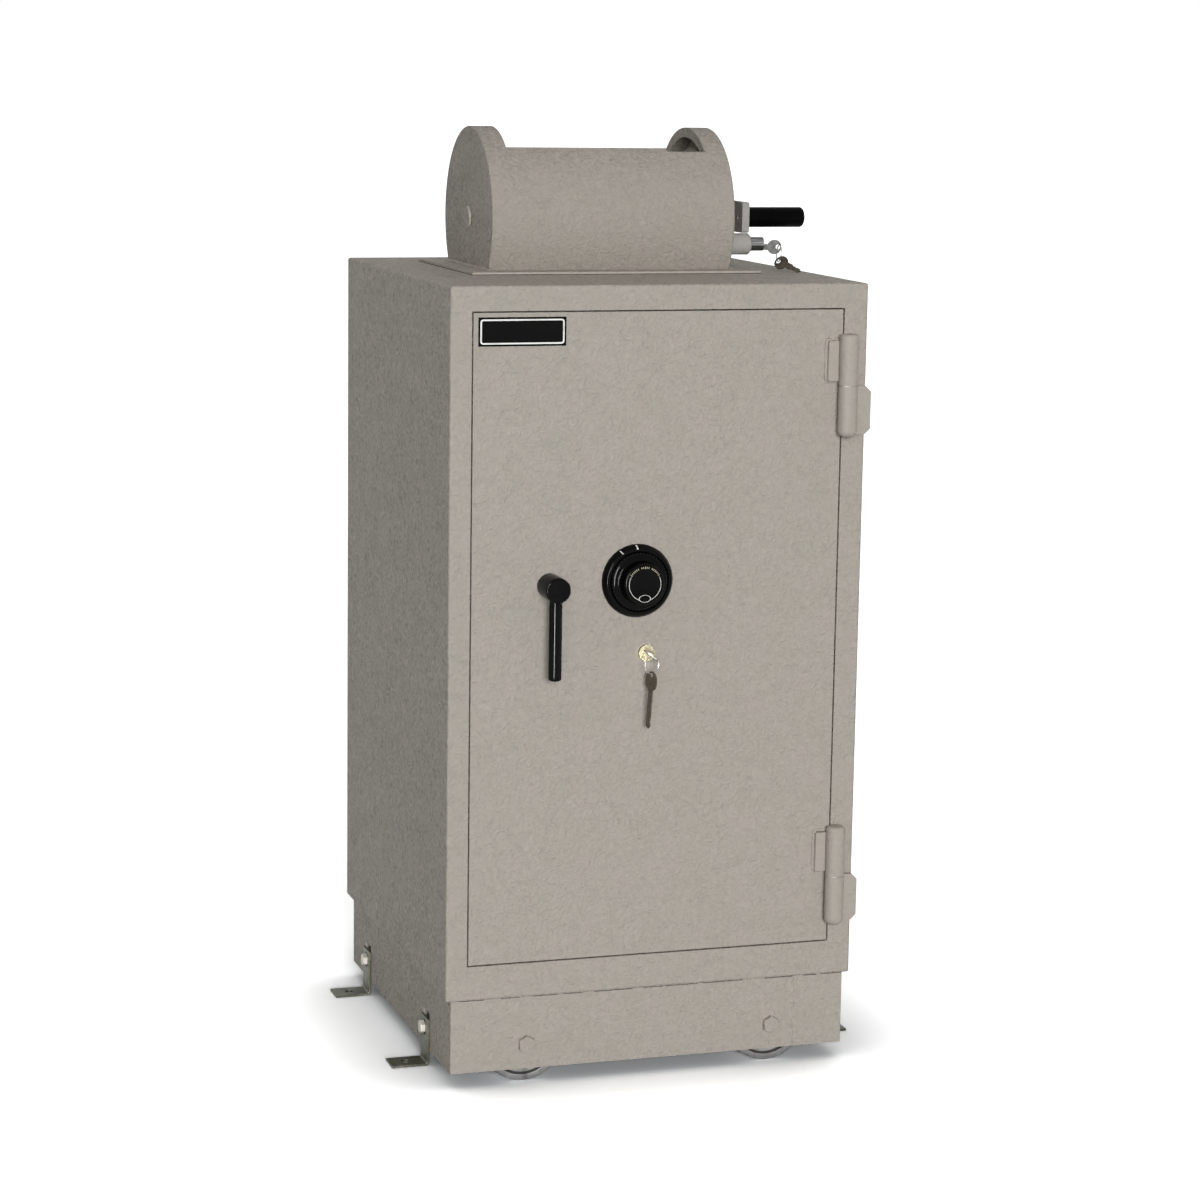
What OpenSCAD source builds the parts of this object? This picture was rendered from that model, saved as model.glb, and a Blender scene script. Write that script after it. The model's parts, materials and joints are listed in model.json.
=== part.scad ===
// Rotary hopper safe: a steel deposit safe on a wheeled plinth, with a drum
// hopper on its roof. Millimetres, +Z up, +X to the right, front towards -Y.
// The origin is on the floor, at the middle of the outline's bounding box.

/* [Cabinet] */
// Width of the cabinet
body_w = 600; // [560:1:760]
// Depth of the cabinet
body_d = 600; // [540:1:760]
// Height of the cabinet above the plinth
body_h = 989; // [940:1:1300]
// Radius of the cabinet's outside edges
corner_r = 4; // [3:0.5:12]
// Thickness of the outer steel skin
skin_t = 4; // [3:0.5:6]
// Thickness of the inner steel liner
liner_t = 3; // [2:0.5:5]
// Distance from the outside of the back to the chamber
back_wall = 50; // [30:1:90]
// How far the door stop stands in from the door opening
stop_lip = 12; // [8:0.5:24]

/* [Door opening] */
// Frame width left of the door
margin_left = 30; // [30:0.5:44]
// Frame width right of the door
margin_right = 35; // [30:0.5:44]
// Frame height above the door
margin_top = 34; // [28:0.5:60]
// Frame height below the door
margin_bottom = 49; // [28:0.5:80]
// Gap all round the door
door_gap = 2; // [1.5:0.1:4]
// Thickness of the jamb that lines the opening
jamb_t = 5; // [3:0.5:8]

/* [Door] */
// Thickness of the door's front plate
plate_t = 8; // [6:0.5:12]
// Depth of the rim behind the front plate
rim_d = 46; // [44:0.5:60]
// Wall thickness of the rim
rim_t = 4; // [3:0.5:6]
// How far the rim stands in from the front plate's edge
rim_inset = 4; // [4:0.5:10]
// Thickness of the door's back cover
cover_t = 2.5; // [1.5:0.5:4]
// Gap between the shut door's back cover and the door stop
stop_gap = 1; // [0.5:0.1:3]
// Radius of the back cover's screw heads
screw_r = 5; // [3:0.5:6]

/* [Controls on the door] */
// Handle axis, from the door's left edge
handle_inset = 110; // [96:1:118]
// Handle axis, above the cabinet's underside
handle_h = 580; // [460:1:640]
// Radius of the handle's hub
hub_r = 17.5; // [15:0.5:22]
// Reach of the hub in front of the door
hub_len = 46; // [40:1:60]
// Distance of the lever's axis in front of the door
lever_out = 32; // [28:0.5:36]
// Radius of the lever
lever_r = 9; // [6:0.5:10]
// Length of the lever from the handle axis
lever_len = 126; // [100:1:160]
// Radius of the handle's spindle
spindle_r = 8; // [6:0.5:9]
// Dial axis, from the door's left edge
dial_inset = 236; // [220:1:260]
// Dial axis, above the cabinet's underside
dial_h = 583; // [500:1:650]
// Radius of the ring round the dial
dial_ring_r = 51; // [44:1:56]
// Radius of the dial's graduated plate
dial_r = 41; // [36:1:43]
// Reach of the dial's knob in front of the door
dial_out = 36; // [30:1:44]
// Radius of the dial's spindle
dial_spindle_r = 4; // [3:0.5:5]
// Key lock axis, from the door's left edge
key_inset = 251; // [240:1:280]
// Key lock axis, above the cabinet's underside
key_h = 481; // [420:1:500]
// Radius of the key lock's body
key_lock_r = 11.5; // [10:0.5:14]
// Radius of the key lock's turning plug
plug_r = 7; // [6.5:0.5:8]
// Reach of the key lock behind the door's front
key_lock_d = 46; // [40:1:50]

/* [Bolt work] */
// Radius of a locking bolt
bolt_r = 12; // [8:0.5:13]
// Travel of the locking bolts
bolt_travel = 25; // [18:0.5:26]
// Turn of the handle that throws the bolts, in degrees
throw_deg = 90; // [70:1:90]
// Thickness of the bolt bar
bar_t = 6; // [4:0.5:8]
// Radius of the crank pin that drives the bolt bar
crank_pin_r = 4.5; // [3.5:0.5:5]
// Distance of the end bolts from the door's top and bottom edges
bolt_end_inset = 140; // [90:1:200]
// Radius of the fixed bolts on the hinge side
dead_r = 10; // [8:0.5:11]
// Reach of the fixed bolts past the opening
dead_reach = 14; // [8:0.5:16]

/* [Hinges] */
// Radius of a hinge barrel
barrel_r = 13.5; // [12:0.5:18]
// Length of each half of a barrel
barrel_half = 72; // [66:1:90]
// Radius of a hinge pin
hinge_pin_r = 8; // [6:0.5:9]
// Hinge axis, to the right of the door opening
hinge_off = 2.5; // [2:0.5:6]
// Upper hinge's joint, below the door's top edge
hinge_inset_top = 105; // [95:1:140]
// Lower hinge's joint, above the door's bottom edge
hinge_inset_bottom = 98; // [95:1:140]
// Height of a hinge leaf
leaf_h = 56; // [40:1:60]
// Thickness of a hinge leaf
leaf_t = 8; // [5:0.5:10]

/* [Hopper] */
// Radius of the hopper's housing
hop_r = 130; // [122:0.5:140]
// Wall of the hopper's housing
hop_wall = 14; // [10:0.5:18]
// Length of the hopper's housing
hop_len = 362; // [320:1:400]
// Thickness of the housing's end plates
hop_end_t = 10; // [6:0.5:14]
// Height of the drum's axis above the roof
hop_axis_h = 73.5; // [72:0.5:88]
// Distance of the drum's axis behind the cabinet's front
hop_back = 350; // [300:1:370]
// Angle of the window's edges from straight up, in degrees
window_deg = 41.5; // [30:0.5:44]
// Housing left at each end of the window
window_strip = 33; // [26:0.5:50]
// Width of the flange plate
flange_w = 430; // [410:1:460]
// Depth of the flange plate
flange_d = 300; // [270:1:340]
// Thickness of the flange plate
flange_t = 4; // [4:0.5:10]
// Radius of the drum
drum_r = 100; // [94:0.5:104]
// Wall of the drum
drum_wall = 3; // [2:0.5:5]
// Angle of the pocket's edges from the pocket's middle, in degrees
pocket_deg = 52; // [46:0.5:58]
// Radius of the drum's shafts
shaft_r = 12; // [8:0.5:14]
// Turn of the drum that empties its pocket, in degrees
drum_turn = 180; // [150:1:180]

/* [Crank and hopper lock] */
// Gap between the housing and the crank arm
arm_off = 20; // [18:0.5:28]
// Thickness of the crank arm
arm_t = 11; // [8:0.5:14]
// Height of the crank arm
arm_h = 44; // [40:0.5:48]
// How far the arm's middle line lies above the drum's axis
arm_rise = 4; // [0:0.5:5]
// Distance of the grip from the drum's axis
grip_reach = 88; // [76:1:94]
// Radius of the grip
grip_r = 14.5; // [11:0.5:16]
// Length of the grip
grip_len = 88; // [70:1:100]
// Radius of the lock's boss
boss_r = 15.5; // [14:0.25:17]
// Distance of the lock's axis in front of the drum's axis
lock_fwd = 100; // [96:1:102]
// Radius of the lock's plunger
plunger_r = 10; // [9:0.5:11]
// Length of the plunger that shows
plunger_out = 20; // [18:0.5:26]
// Travel of the plunger
plunger_travel = 12; // [6:0.5:14]
// Radius of the plunger's turning plug
hop_plug_r = 4.8; // [4.5:0.1:5]

/* [Keys] */
// Radius of the bow of the hopper's keys
hop_bow_r = 10.5; // [10:0.5:12]
// Length of the blade of the hopper's keys
hop_blade = 18; // [14:0.5:22]
// Radius of the bow of the door's keys
door_bow_r = 11.5; // [10:0.5:13]
// Length of the blade of the door's keys
door_blade = 54; // [36:1:54]
// Thickness of a key
key_t = 2; // [1.6:0.1:2.4]
// Radius of the hole in a key's bow
eye_r = 3.6; // [3.2:0.1:4]
// Radius of a key ring's wire
wire_r = 0.8; // [0.6:0.05:1]
// Radius of a key ring, to the middle of its wire
ring_r = 12; // [11:0.1:13]

/* [Plinth and wheels] */
// Height of the plinth
plinth_h = 105; // [96:1:120]
// How far the plinth stands in from each side of the cabinet
plinth_side = 8.5; // [4:0.5:16]
// How far the plinth stands in from the front
plinth_front = 5; // [2:0.5:14]
// How far the plinth stands in from the back
plinth_back = 11; // [2:0.5:20]
// Wall of the plinth
plinth_t = 5; // [4:0.5:8]
// Height of the plinth's lower edge above the floor
floor_gap = 22; // [16:1:26]
// Radius of a wheel
wheel_r = 58; // [54:0.5:60]
// Width of a wheel
wheel_w = 40; // [30:1:50]
// Distance of the wheels from the middle of the cabinet
wheel_x = 182; // [140:1:200]
// Radius of an axle bolt's shank
axle_r = 7; // [5:0.5:8]
// Thickness of the plates that carry the wheels' inner ends
hanger_t = 6; // [5:0.5:10]

/* [Anchor brackets] */
// Width of a bracket
brk_w = 40; // [34:1:50]
// Thickness of a bracket
brk_t = 3.5; // [3:0.5:6]
// Height of a bracket's upright leg
brk_h = 68; // [66:1:88]
// Length of a bracket's foot, from the plinth
brk_foot = 55; // [48:1:70]
// Radius of the hole in a bracket's foot
brk_hole_r = 6; // [4:0.5:7]
// Distance of the front brackets behind the cabinet's front
brk_front = 136; // [120:1:150]
// Distance of the rear brackets behind the cabinet's front
brk_rear = 490; // [420:1:505]
// Radius of the screws that hold the brackets
brk_screw_r = 5; // [4:0.5:5.5]

/* [Nameplate] */
// Width of the nameplate
name_w = 123; // [90:1:150]
// Height of the nameplate
name_h = 39; // [24:1:50]
// Thickness of the nameplate
name_t = 1.2; // [0.8:0.1:2]

/* [Hidden] */
$fn = 96;
eps = 0.01;
run_gap = 0.05; // radial clearance of a shaft that turns in a bore
seat_gap = 0.02; // radial clearance of a pin that stays in its bore
part_gap = 0.3; // clearance between pieces that move past each other
bolt_clear = 1; // radial clearance of a locking bolt in the jamb
pocket_clear = 4; // free depth past a thrown bolt

// Levels and planes. Depths are measured from the cabinet's front face.
front_y = -(body_d - hub_len) / 2;
body_z0 = floor_gap + plinth_h;
body_z1 = body_z0 + body_h;
open_x0 = -body_w / 2 + margin_left;
open_x1 = body_w / 2 - margin_right;
open_z0 = body_z0 + margin_bottom;
open_z1 = body_z1 - margin_top;
door_x0 = open_x0 + door_gap;
door_x1 = open_x1 - door_gap;
door_z0 = open_z0 + door_gap;
door_z1 = open_z1 - door_gap;
rim_y1 = plate_t + rim_d;
cover_y1 = rim_y1 + cover_t;
post_r = 5; // tapped posts of the back cover's screws
jamb_y1 = cover_y1 + stop_gap;
room_x0 = open_x0 + stop_lip;
room_x1 = open_x1 - stop_lip;
room_z0 = open_z0 + stop_lip;
room_z1 = open_z1 - stop_lip;
room_y1 = body_d - back_wall;

// Hopper and the hole that it drops through
hop_z = body_z1 + hop_axis_h;
hop_in_r = hop_r - hop_wall;
hop_seat = hop_axis_h - flange_t;
hop_in_x = hop_len / 2 - hop_end_t;
window_x = hop_len / 2 - window_strip;
drum_end_gap = 7;
drum_end_t = 6;
drum_x = hop_in_x - drum_end_gap;
drum_in_x = drum_x - drum_end_t;
chute_hx = drum_x + 3;
chute_hy = sqrt(pow(hop_in_r, 2) - pow(hop_seat, 2)) - 2;
chute_t = 3;
bush_wall = 4;
bush_flange = 3;
bush_cap = 2; // closes the left bush, where nothing has to pass
bush_r = shaft_r + run_gap + bush_wall;
arm_x0 = hop_len / 2 + arm_off;
arm_x1 = arm_x0 + arm_t;
arm_rest = 0.5;
boss_proud = 2;
stud_r = 4;
lock_y = hop_back - lock_fwd;
arm_z = hop_z + arm_rise;
lock_z = arm_z - arm_h / 2 - arm_rest - boss_r;
boss_x1 = arm_x1 + boss_proud;
boss_floor = 2;
plunger_x0 = hop_len / 2 + boss_floor + plunger_travel + part_gap;
plunger_x1 = boss_x1 + plunger_out;
lock_pin_r = 3.5;
lock_pin_x0 = hop_in_x + 2;
plug_x0 = plunger_x0 + 8;
plug_z = lock_z - (plunger_r - run_gap - hop_plug_r - 0.5);

// Bolt work, inside the door
bolt_in = 17; // from the door plate's back to the bolts' middle
bolt_y = plate_t + bolt_in;
bolt_ends = [door_z0 + bolt_end_inset, (door_z0 + door_z1) / 2, door_z1 - bolt_end_inset];
bolt_x0 = door_x0 + rim_inset + 1;
guide_x0 = door_x0 + rim_inset + rim_t + 1;
guide_x1 = guide_x0 + 12;
bar_x0 = guide_x1 + bolt_travel + 1;
bar_w = 30;
bar_x1 = bar_x0 + bar_w;
bar_y0 = bolt_y - bar_t / 2;
bar_y1 = bolt_y + bar_t / 2;
crank_r = bolt_travel / (2 * sin(throw_deg / 2));
pin_play = 0.9;
handle_x = door_x0 + handle_inset;
handle_z = body_z0 + handle_h;
cam_r = crank_r + crank_pin_r + 3;
cam_y0 = bar_y1 + 1;
cam_y1 = cam_y0 + 6;
dial_x = door_x0 + dial_inset;
dial_z = body_z0 + dial_h;
key_x = door_x0 + key_inset;
key_z = body_z0 + key_h;
case_w = 84;
case_h = 64;
case_y0 = plate_t;
case_d = 32; // depth of both lock cases
case_y1 = case_y0 + case_d;
pack_r = 26;
screw_edge = 20; // from the door's edge to the cover's screws
dead_step = 60; // from an end locking bolt to the dead bolt beside it
name_side = 6.5; // from the door's left edge to the nameplate
name_top = 6;
dead_ends = [door_z0 + bolt_end_inset + dead_step, door_z1 - bolt_end_inset - dead_step];

// Hinges
hinge_x = open_x1 + hinge_off;
hinge_y = -(barrel_r + 0.5);
hinge_joints = [door_z0 + hinge_inset_bottom, door_z1 - hinge_inset_top];
washer_t = 2;
leaf_gap = 6;
leaf_longer = 12; // how much longer the frame's leaf is than the door's
leaf_on_door = 23; // how far a hinge leaf reaches onto the door
leaf_past_side = 4.5; // how far the other leaf stands past the cabinet's side

// Plinth, wheels and brackets
plinth_x = body_w / 2 - plinth_side;
plinth_y1 = body_d - plinth_back;
wheel_gap = 9;
wheel_y0 = plinth_front + plinth_t + wheel_gap;
wheel_y1 = wheel_y0 + wheel_w;
hanger_y0 = wheel_y1 + 4;
hanger_y1 = hanger_y0 + hanger_t;
hanger_half = 30; // half the width of a hanger plate
hanger_below = 20; // how far it reaches below the axle
hanger_foot = 34; // length of its foot under the cabinet's floor
axle_flats = 22; // across the flats of an axle's head
axle_head = 8;
axle_tail = 8; // how far an axle reaches past its hanger
plinth_mid_y = (plinth_front + plinth_y1) / 2;
notch_w = brk_w - 6;
notch_z0 = 62;
notch_z1 = brk_h + 8;
brk_screw_z = 52;
brk_hole_out = 25;
brk_flats = 17; // across the flats of a bracket bolt's head
brk_head = 6.5;
brk_tail = 6; // how far a bracket bolt reaches past the plinth's wall

// Keys. A cut lists a key's bow radius, the bow's extra length, its neck, its blade
// and half the blade's width.
hop_cut = [hop_bow_r, 0.6, 8.5, hop_blade, 3.2];
door_cut = [door_bow_r, 4, 0.5, door_blade, 4];
key_tip = 4;
key_shoulder = 1.2;
groove_w = 1.8; // the groove milled along each face of a blade
groove_d = 0.45;
key_rest_y = -5;
key_tilt = 40;
hang_lean = 0.11;
hang_down = sqrt((1 - pow(hang_lean, 2)) / 2);
hop_hang = [-hang_lean, -hang_down, -hang_down];
hop_thread = [0, sqrt(0.5), -sqrt(0.5)];
hop_spare_at = 142;
hop_spare_face = unit([0.62, 0.56, -0.55]);
door_thread = [cos(20), sin(20), 0];
door_spare_lean = 5;

// Helpers

module from_front() {
    translate([0, front_y, 0]) children();
}

function unit(v) = v / norm(v);

// A box between two corners
module box(a, b) {
    translate(a) cube(b - a);
}

// A cylinder along X, Y or Z that starts at p
module rod_x(p, r, len) {
    translate(p) rotate([0, 90, 0]) cylinder(r = r, h = len);
}

module rod_y(p, r, len) {
    translate(p) rotate([-90, 0, 0]) cylinder(r = r, h = len);
}

module rod_z(p, r, len) {
    translate(p) cylinder(r = r, h = len);
}

// A solid of revolution whose profile is (radius, distance along the axis)
module turned_y(p) {
    translate(p) rotate([-90, 0, 0]) rotate_extrude() children();
}

module turned_x(p) {
    translate(p) rotate([0, 90, 0]) rotate_extrude() children();
}

// A hexagonal prism along X or Y, measured across its flats
module hex_x(p, flats, len) {
    translate(p) rotate([0, 90, 0]) cylinder(d = flats / cos(30), h = len, $fn = 6);
}

module hex_y(p, flats, len) {
    translate(p) rotate([-90, 0, 0]) cylinder(d = flats / cos(30), h = len, $fn = 6);
}

// A flat outline with rounded corners, from (0, 0) to (w, h)
module round_rect(w, h, r) {
    translate([r, 0]) square([w - 2 * r, h]);
    translate([0, r]) square([w, h - 2 * r]);
    for (x = [r, w - r], y = [r, h - r]) translate([x, y]) circle(r = r);
}

// A ring of rectangular section between two nested boxes, open along Y
module frame_y(x0, x1, z0, z1, t, y0, y1) {
    difference() {
        box([x0 - t, y0, z0 - t], [x1 + t, y1, z1 + t]);
        box([x0, y0 - 1, z0], [x1, y1 + 1, z1]);
    }
}

// Cabinet

module body_block() {
    intersection() {
        translate([-body_w / 2, 0, body_z0]) linear_extrude(body_h) round_rect(body_w, body_d, corner_r);
        translate([-body_w / 2, body_d, body_z0]) rotate([90, 0, 0])
            linear_extrude(body_d) round_rect(body_w, body_h, corner_r);
        translate([-body_w / 2, 0, body_z0]) rotate([90, 0, 90])
            linear_extrude(body_w) round_rect(body_d, body_h, corner_r);
    }
}

module inside_skin() {
    box([-body_w / 2 + skin_t, skin_t, body_z0 + skin_t],
        [body_w / 2 - skin_t, body_d - skin_t, body_z1 - skin_t]);
}

// The hole through the roof, with a margin all round
module roof_hole(extra, z0, z1) {
    box([-chute_hx - extra, hop_back - chute_hy - extra, z0],
        [chute_hx + extra, hop_back + chute_hy + extra, z1]);
}

module body_shell() {
    color("#a39a8f") from_front() difference() {
        body_block();
        inside_skin();
        box([open_x0, -1, open_z0], [open_x1, skin_t + 1, open_z1]);
        roof_hole(chute_t, body_z1 - skin_t - 1, body_z1 + 1);
    }
}

// Pockets that the locking bolts and the fixed bolts enter
module bolt_pockets() {
    for (z = bolt_ends) {
        rod_x([bolt_x0 - bolt_travel - pocket_clear, bolt_y, z], bolt_r + bolt_clear,
            bolt_travel + pocket_clear + 2);
    }
    for (z = dead_ends) {
        rod_x([open_x1 - 1, bolt_y, z], dead_r + 2, dead_reach + pocket_clear + 1);
    }
}

module door_jamb() {
    color("#8f887f") from_front() difference() {
        frame_y(open_x0, open_x1, open_z0, open_z1, jamb_t, skin_t, jamb_y1);
        bolt_pockets();
    }
}

module inner_liner() {
    color("#8c857b") from_front() difference() {
        union() {
            box([open_x0 - jamb_t, jamb_y1, open_z0 - jamb_t],
                [open_x1 + jamb_t, jamb_y1 + liner_t, open_z1 + jamb_t]);
            box([room_x0 - liner_t, jamb_y1, room_z0 - liner_t],
                [room_x1 + liner_t, room_y1 + liner_t, room_z1 + liner_t]);
        }
        box([room_x0, jamb_y1 - 1, room_z0], [room_x1, room_y1, room_z1]);
        roof_hole(chute_t, room_z1 - 1, room_z1 + liner_t + 1);
    }
}

module concrete_fill() {
    color("#b5b1a8") from_front() difference() {
        inside_skin();
        box([open_x0 - jamb_t, 0, open_z0 - jamb_t],
            [open_x1 + jamb_t, jamb_y1 + liner_t, open_z1 + jamb_t]);
        box([room_x0 - liner_t, 0, room_z0 - liner_t],
            [room_x1 + liner_t, room_y1 + liner_t, room_z1 + liner_t]);
        roof_hole(chute_t, room_z1, body_z1);
        bolt_pockets();
    }
}

module drop_chute() {
    color("#8c857b") from_front() difference() {
        roof_hole(chute_t, room_z1, body_z1);
        roof_hole(0, room_z1 - 1, body_z1 + 1);
    }
}

// Plinth, wheels and anchor brackets

module both_ends() {
    children();
    translate([0, 2 * plinth_mid_y, 0]) mirror([0, 1, 0]) children();
}

module four_wheels() {
    both_ends() for (x = [-wheel_x, wheel_x]) translate([x, 0, 0]) children();
}

module plinth() {
    color("#a1988d") from_front() difference() {
        translate([-plinth_x, plinth_front, floor_gap]) linear_extrude(plinth_h)
            round_rect(2 * plinth_x, plinth_y1 - plinth_front, corner_r / 2);
        box([-plinth_x + plinth_t, plinth_front + plinth_t, floor_gap - 1],
            [plinth_x - plinth_t, plinth_y1 - plinth_t, body_z0 + 1]);
        four_wheels() rod_y([0, plinth_front - 1, wheel_r], axle_r + seat_gap, plinth_t + 2);
        for (y = [brk_front, brk_rear]) {
            box([-plinth_x - 1, y - notch_w / 2, notch_z0], [plinth_x + 1, y + notch_w / 2, notch_z1]);
            rod_x([-plinth_x - 1, y, brk_screw_z], brk_screw_r + seat_gap, 2 * plinth_x + 2);
        }
    }
}

module wheel_hangers() {
    color("#6f6b66") from_front() four_wheels() difference() {
        union() {
            box([-hanger_half, hanger_y0, wheel_r - hanger_below], [hanger_half, hanger_y1, body_z0]);
            box([-hanger_half, hanger_y1 - eps, body_z0 - hanger_t],
                [hanger_half, hanger_y1 + hanger_foot, body_z0]);
        }
        rod_y([0, hanger_y0 - 1, wheel_r], axle_r + seat_gap, hanger_t + 2);
    }
}

module axle_bolts() {
    color("#a1988d") from_front() four_wheels() {
        hex_y([0, plinth_front - axle_head, wheel_r], axle_flats, axle_head);
        rod_y([0, plinth_front, wheel_r], axle_r, hanger_y1 + axle_tail - plinth_front);
    }
}

// One wheel about the Y axis, its front face at y = 0
module wheel() {
    rim = 7;
    dish = 6;
    bore = axle_r + run_gap;
    turned_y([0, 0, wheel_r]) polygon([
        [bore, -3], [bore + 9, -3], [bore + 9, dish], [wheel_r - rim - 3, dish], [wheel_r - rim, 0],
        [wheel_r - 2, 0], [wheel_r, 2], [wheel_r, wheel_w - 2], [wheel_r - 2, wheel_w],
        [wheel_r - rim, wheel_w], [wheel_r - rim - 3, wheel_w - dish], [bore + 9, wheel_w - dish],
        [bore + 9, wheel_w + 3], [bore, wheel_w + 3]]);
}

module wheel_front_left() {
    color("#b9b7b6") from_front() translate([-wheel_x, wheel_y0, 0]) wheel();
}

module wheel_front_right() {
    color("#b9b7b6") from_front() translate([wheel_x, wheel_y0, 0]) wheel();
}

module wheel_rear_left() {
    color("#b9b7b6") from_front() translate([-wheel_x, 2 * plinth_mid_y - wheel_y1, 0]) wheel();
}

module wheel_rear_right() {
    color("#b9b7b6") from_front() translate([wheel_x, 2 * plinth_mid_y - wheel_y1, 0]) wheel();
}

// Calls its children on the right side at y = 0, for each bracket
module four_brackets() {
    for (y = [brk_front, brk_rear]) translate([0, y, 0]) {
        children();
        mirror([1, 0, 0]) children();
    }
}

module anchor_brackets() {
    slot_r = brk_screw_r + 0.5;
    slot_half = min(10, brk_h - brk_screw_z - slot_r - 4);
    bend = brk_t + 3;
    color("#6d6c58") from_front() four_brackets() difference() {
        translate([plinth_x, brk_w / 2, 0]) rotate([90, 0, 0]) linear_extrude(brk_w) difference() {
            union() {
                translate([0, bend]) square([brk_t, brk_h - bend]);
                translate([bend, 0]) square([brk_foot - bend, brk_t]);
                intersection() {
                    square(bend);
                    translate([bend, bend]) circle(r = bend);
                }
            }
            translate([bend, bend]) circle(r = bend - brk_t);
        }
        for (z = [brk_screw_z - slot_half, brk_screw_z + slot_half]) {
            rod_x([plinth_x - 1, 0, z], slot_r, brk_t + 2);
        }
        box([plinth_x - 1, -slot_r, brk_screw_z - slot_half],
            [plinth_x + brk_t + 1, slot_r, brk_screw_z + slot_half]);
        rod_z([plinth_x + brk_foot - brk_hole_out, 0, -1], brk_hole_r, brk_t + 2);
    }
}

module bracket_bolts() {
    color("#b0aaa3") from_front() four_brackets() {
        hex_x([plinth_x + brk_t, 0, brk_screw_z], brk_flats, brk_head);
        rod_x([plinth_x - plinth_t - brk_tail, 0, brk_screw_z], brk_screw_r,
            plinth_t + brk_t + brk_tail);
    }
}

// Hopper housing

module hopper_flange() {
    color("#958c81") from_front() difference() {
        box([-flange_w / 2, hop_back - flange_d / 2, body_z1],
            [flange_w / 2, hop_back + flange_d / 2, body_z1 + flange_t]);
        roof_hole(0, body_z1 - 1, body_z1 + flange_t + 1);
    }
}

// The housing's round outline, cut flat where it stands on the flange
module hopper_outline(x0, x1, r) {
    intersection() {
        rod_x([x0, hop_back, hop_z], r, x1 - x0);
        box([x0, hop_back - hop_r - 1, hop_z - hop_seat], [x1, hop_back + hop_r + 1, hop_z + hop_r + 1]);
    }
}

// A wedge about the drum's axis, open upwards
module wedge(x0, x1, deg, r) {
    reach = 2 * r;
    translate([x0, hop_back, hop_z]) rotate([90, 0, 90]) linear_extrude(x1 - x0)
        polygon([[0, 0], [reach * sin(deg), reach * cos(deg)], [-reach * sin(deg), reach * cos(deg)]]);
}

module hopper_shell() {
    color("#a0978c") from_front() difference() {
        hopper_outline(-hop_in_x, hop_in_x, hop_r);
        rod_x([-hop_in_x - 1, hop_back, hop_z], hop_in_r, 2 * hop_in_x + 2);
        wedge(-window_x, window_x, window_deg, hop_r);
    }
}

module hopper_end(x0) {
    difference() {
        hopper_outline(x0, x0 + hop_end_t, hop_r);
        rod_x([x0 - 1, hop_back, hop_z], bush_r + seat_gap, hop_end_t + 2);
    }
}

module hopper_end_left() {
    color("#8d857b") from_front() hopper_end(-hop_len / 2);
}

module hopper_end_right() {
    color("#a0978c") from_front() difference() {
        hopper_end(hop_in_x);
        rod_x([hop_in_x - 1, lock_y, lock_z], lock_pin_r + 0.3, hop_end_t + 2);
    }
}

// A flanged bush for the right end, which mirrors to the left
module hopper_bush(cap) {
    difference() {
        union() {
            rod_x([hop_in_x - drum_end_gap + part_gap, hop_back, hop_z], bush_r + 4,
                drum_end_gap - part_gap);
            rod_x([hop_in_x - eps, hop_back, hop_z], bush_r, hop_end_t + bush_flange);
        }
        rod_x([hop_in_x - drum_end_gap - 1, hop_back, hop_z], shaft_r + run_gap,
            drum_end_gap + hop_end_t + bush_flange + 1 + (cap > 0 ? -cap : 1));
    }
}

module hopper_bushings() {
    color("#a39a8f") from_front() {
        hopper_bush(0);
        mirror([1, 0, 0]) hopper_bush(bush_cap);
    }
}

// Bars under the window's edges that close the gap to the drum
module baffle_bars() {
    bar_deg = 7;
    color("#6a655e") from_front() intersection() {
        difference() {
            rod_x([-drum_in_x, hop_back, hop_z], hop_in_r, 2 * drum_in_x);
            rod_x([-drum_in_x - 1, hop_back, hop_z], drum_r + 1, 2 * drum_in_x + 2);
        }
        for (s = [-1, 1]) translate([0, hop_back, hop_z]) rotate([s * (window_deg + bar_deg / 2), 0, 0])
            translate([0, -hop_back, -hop_z]) wedge(-drum_in_x, drum_in_x, bar_deg / 2, hop_r);
    }
}

module lock_boss() {
    color("#a39a8f") from_front() difference() {
        turned_x([hop_len / 2, lock_y, lock_z]) polygon([
            [0, 0], [boss_r, 0], [boss_r, boss_x1 - hop_len / 2 - 3], [boss_r - 3, boss_x1 - hop_len / 2],
            [0, boss_x1 - hop_len / 2]]);
        rod_x([hop_len / 2 + boss_floor, lock_y, lock_z], plunger_r + run_gap, boss_x1 - hop_len / 2);
        rod_x([hop_len / 2 - 1, lock_y, lock_z], lock_pin_r + 0.3, 4);
    }
}

// Drum and crank

module drum_trough() {
    color("#7d766d") from_front() difference() {
        rod_x([-drum_in_x, hop_back, hop_z], drum_r, 2 * drum_in_x);
        rod_x([-drum_in_x - 1, hop_back, hop_z], drum_r - drum_wall, 2 * drum_in_x + 2);
        wedge(-drum_in_x - 1, drum_in_x + 1, pocket_deg, drum_r);
    }
}

module drum_ends() {
    color("#847c73") from_front() for (x = [-drum_x, drum_in_x]) difference() {
        rod_x([x, hop_back, hop_z], drum_r, drum_end_t);
        rod_x([x - 1, hop_back, hop_z], shaft_r, drum_end_t + 2);
    }
}

module drum_shafts() {
    color("#8f8b85") from_front() {
        rod_x([drum_in_x, hop_back, hop_z], shaft_r, arm_x1 - drum_in_x);
        rod_x([bush_cap + part_gap - bush_flange - hop_len / 2, hop_back, hop_z], shaft_r,
            hop_len / 2 + bush_flange - bush_cap - part_gap - drum_in_x);
    }
}

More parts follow.
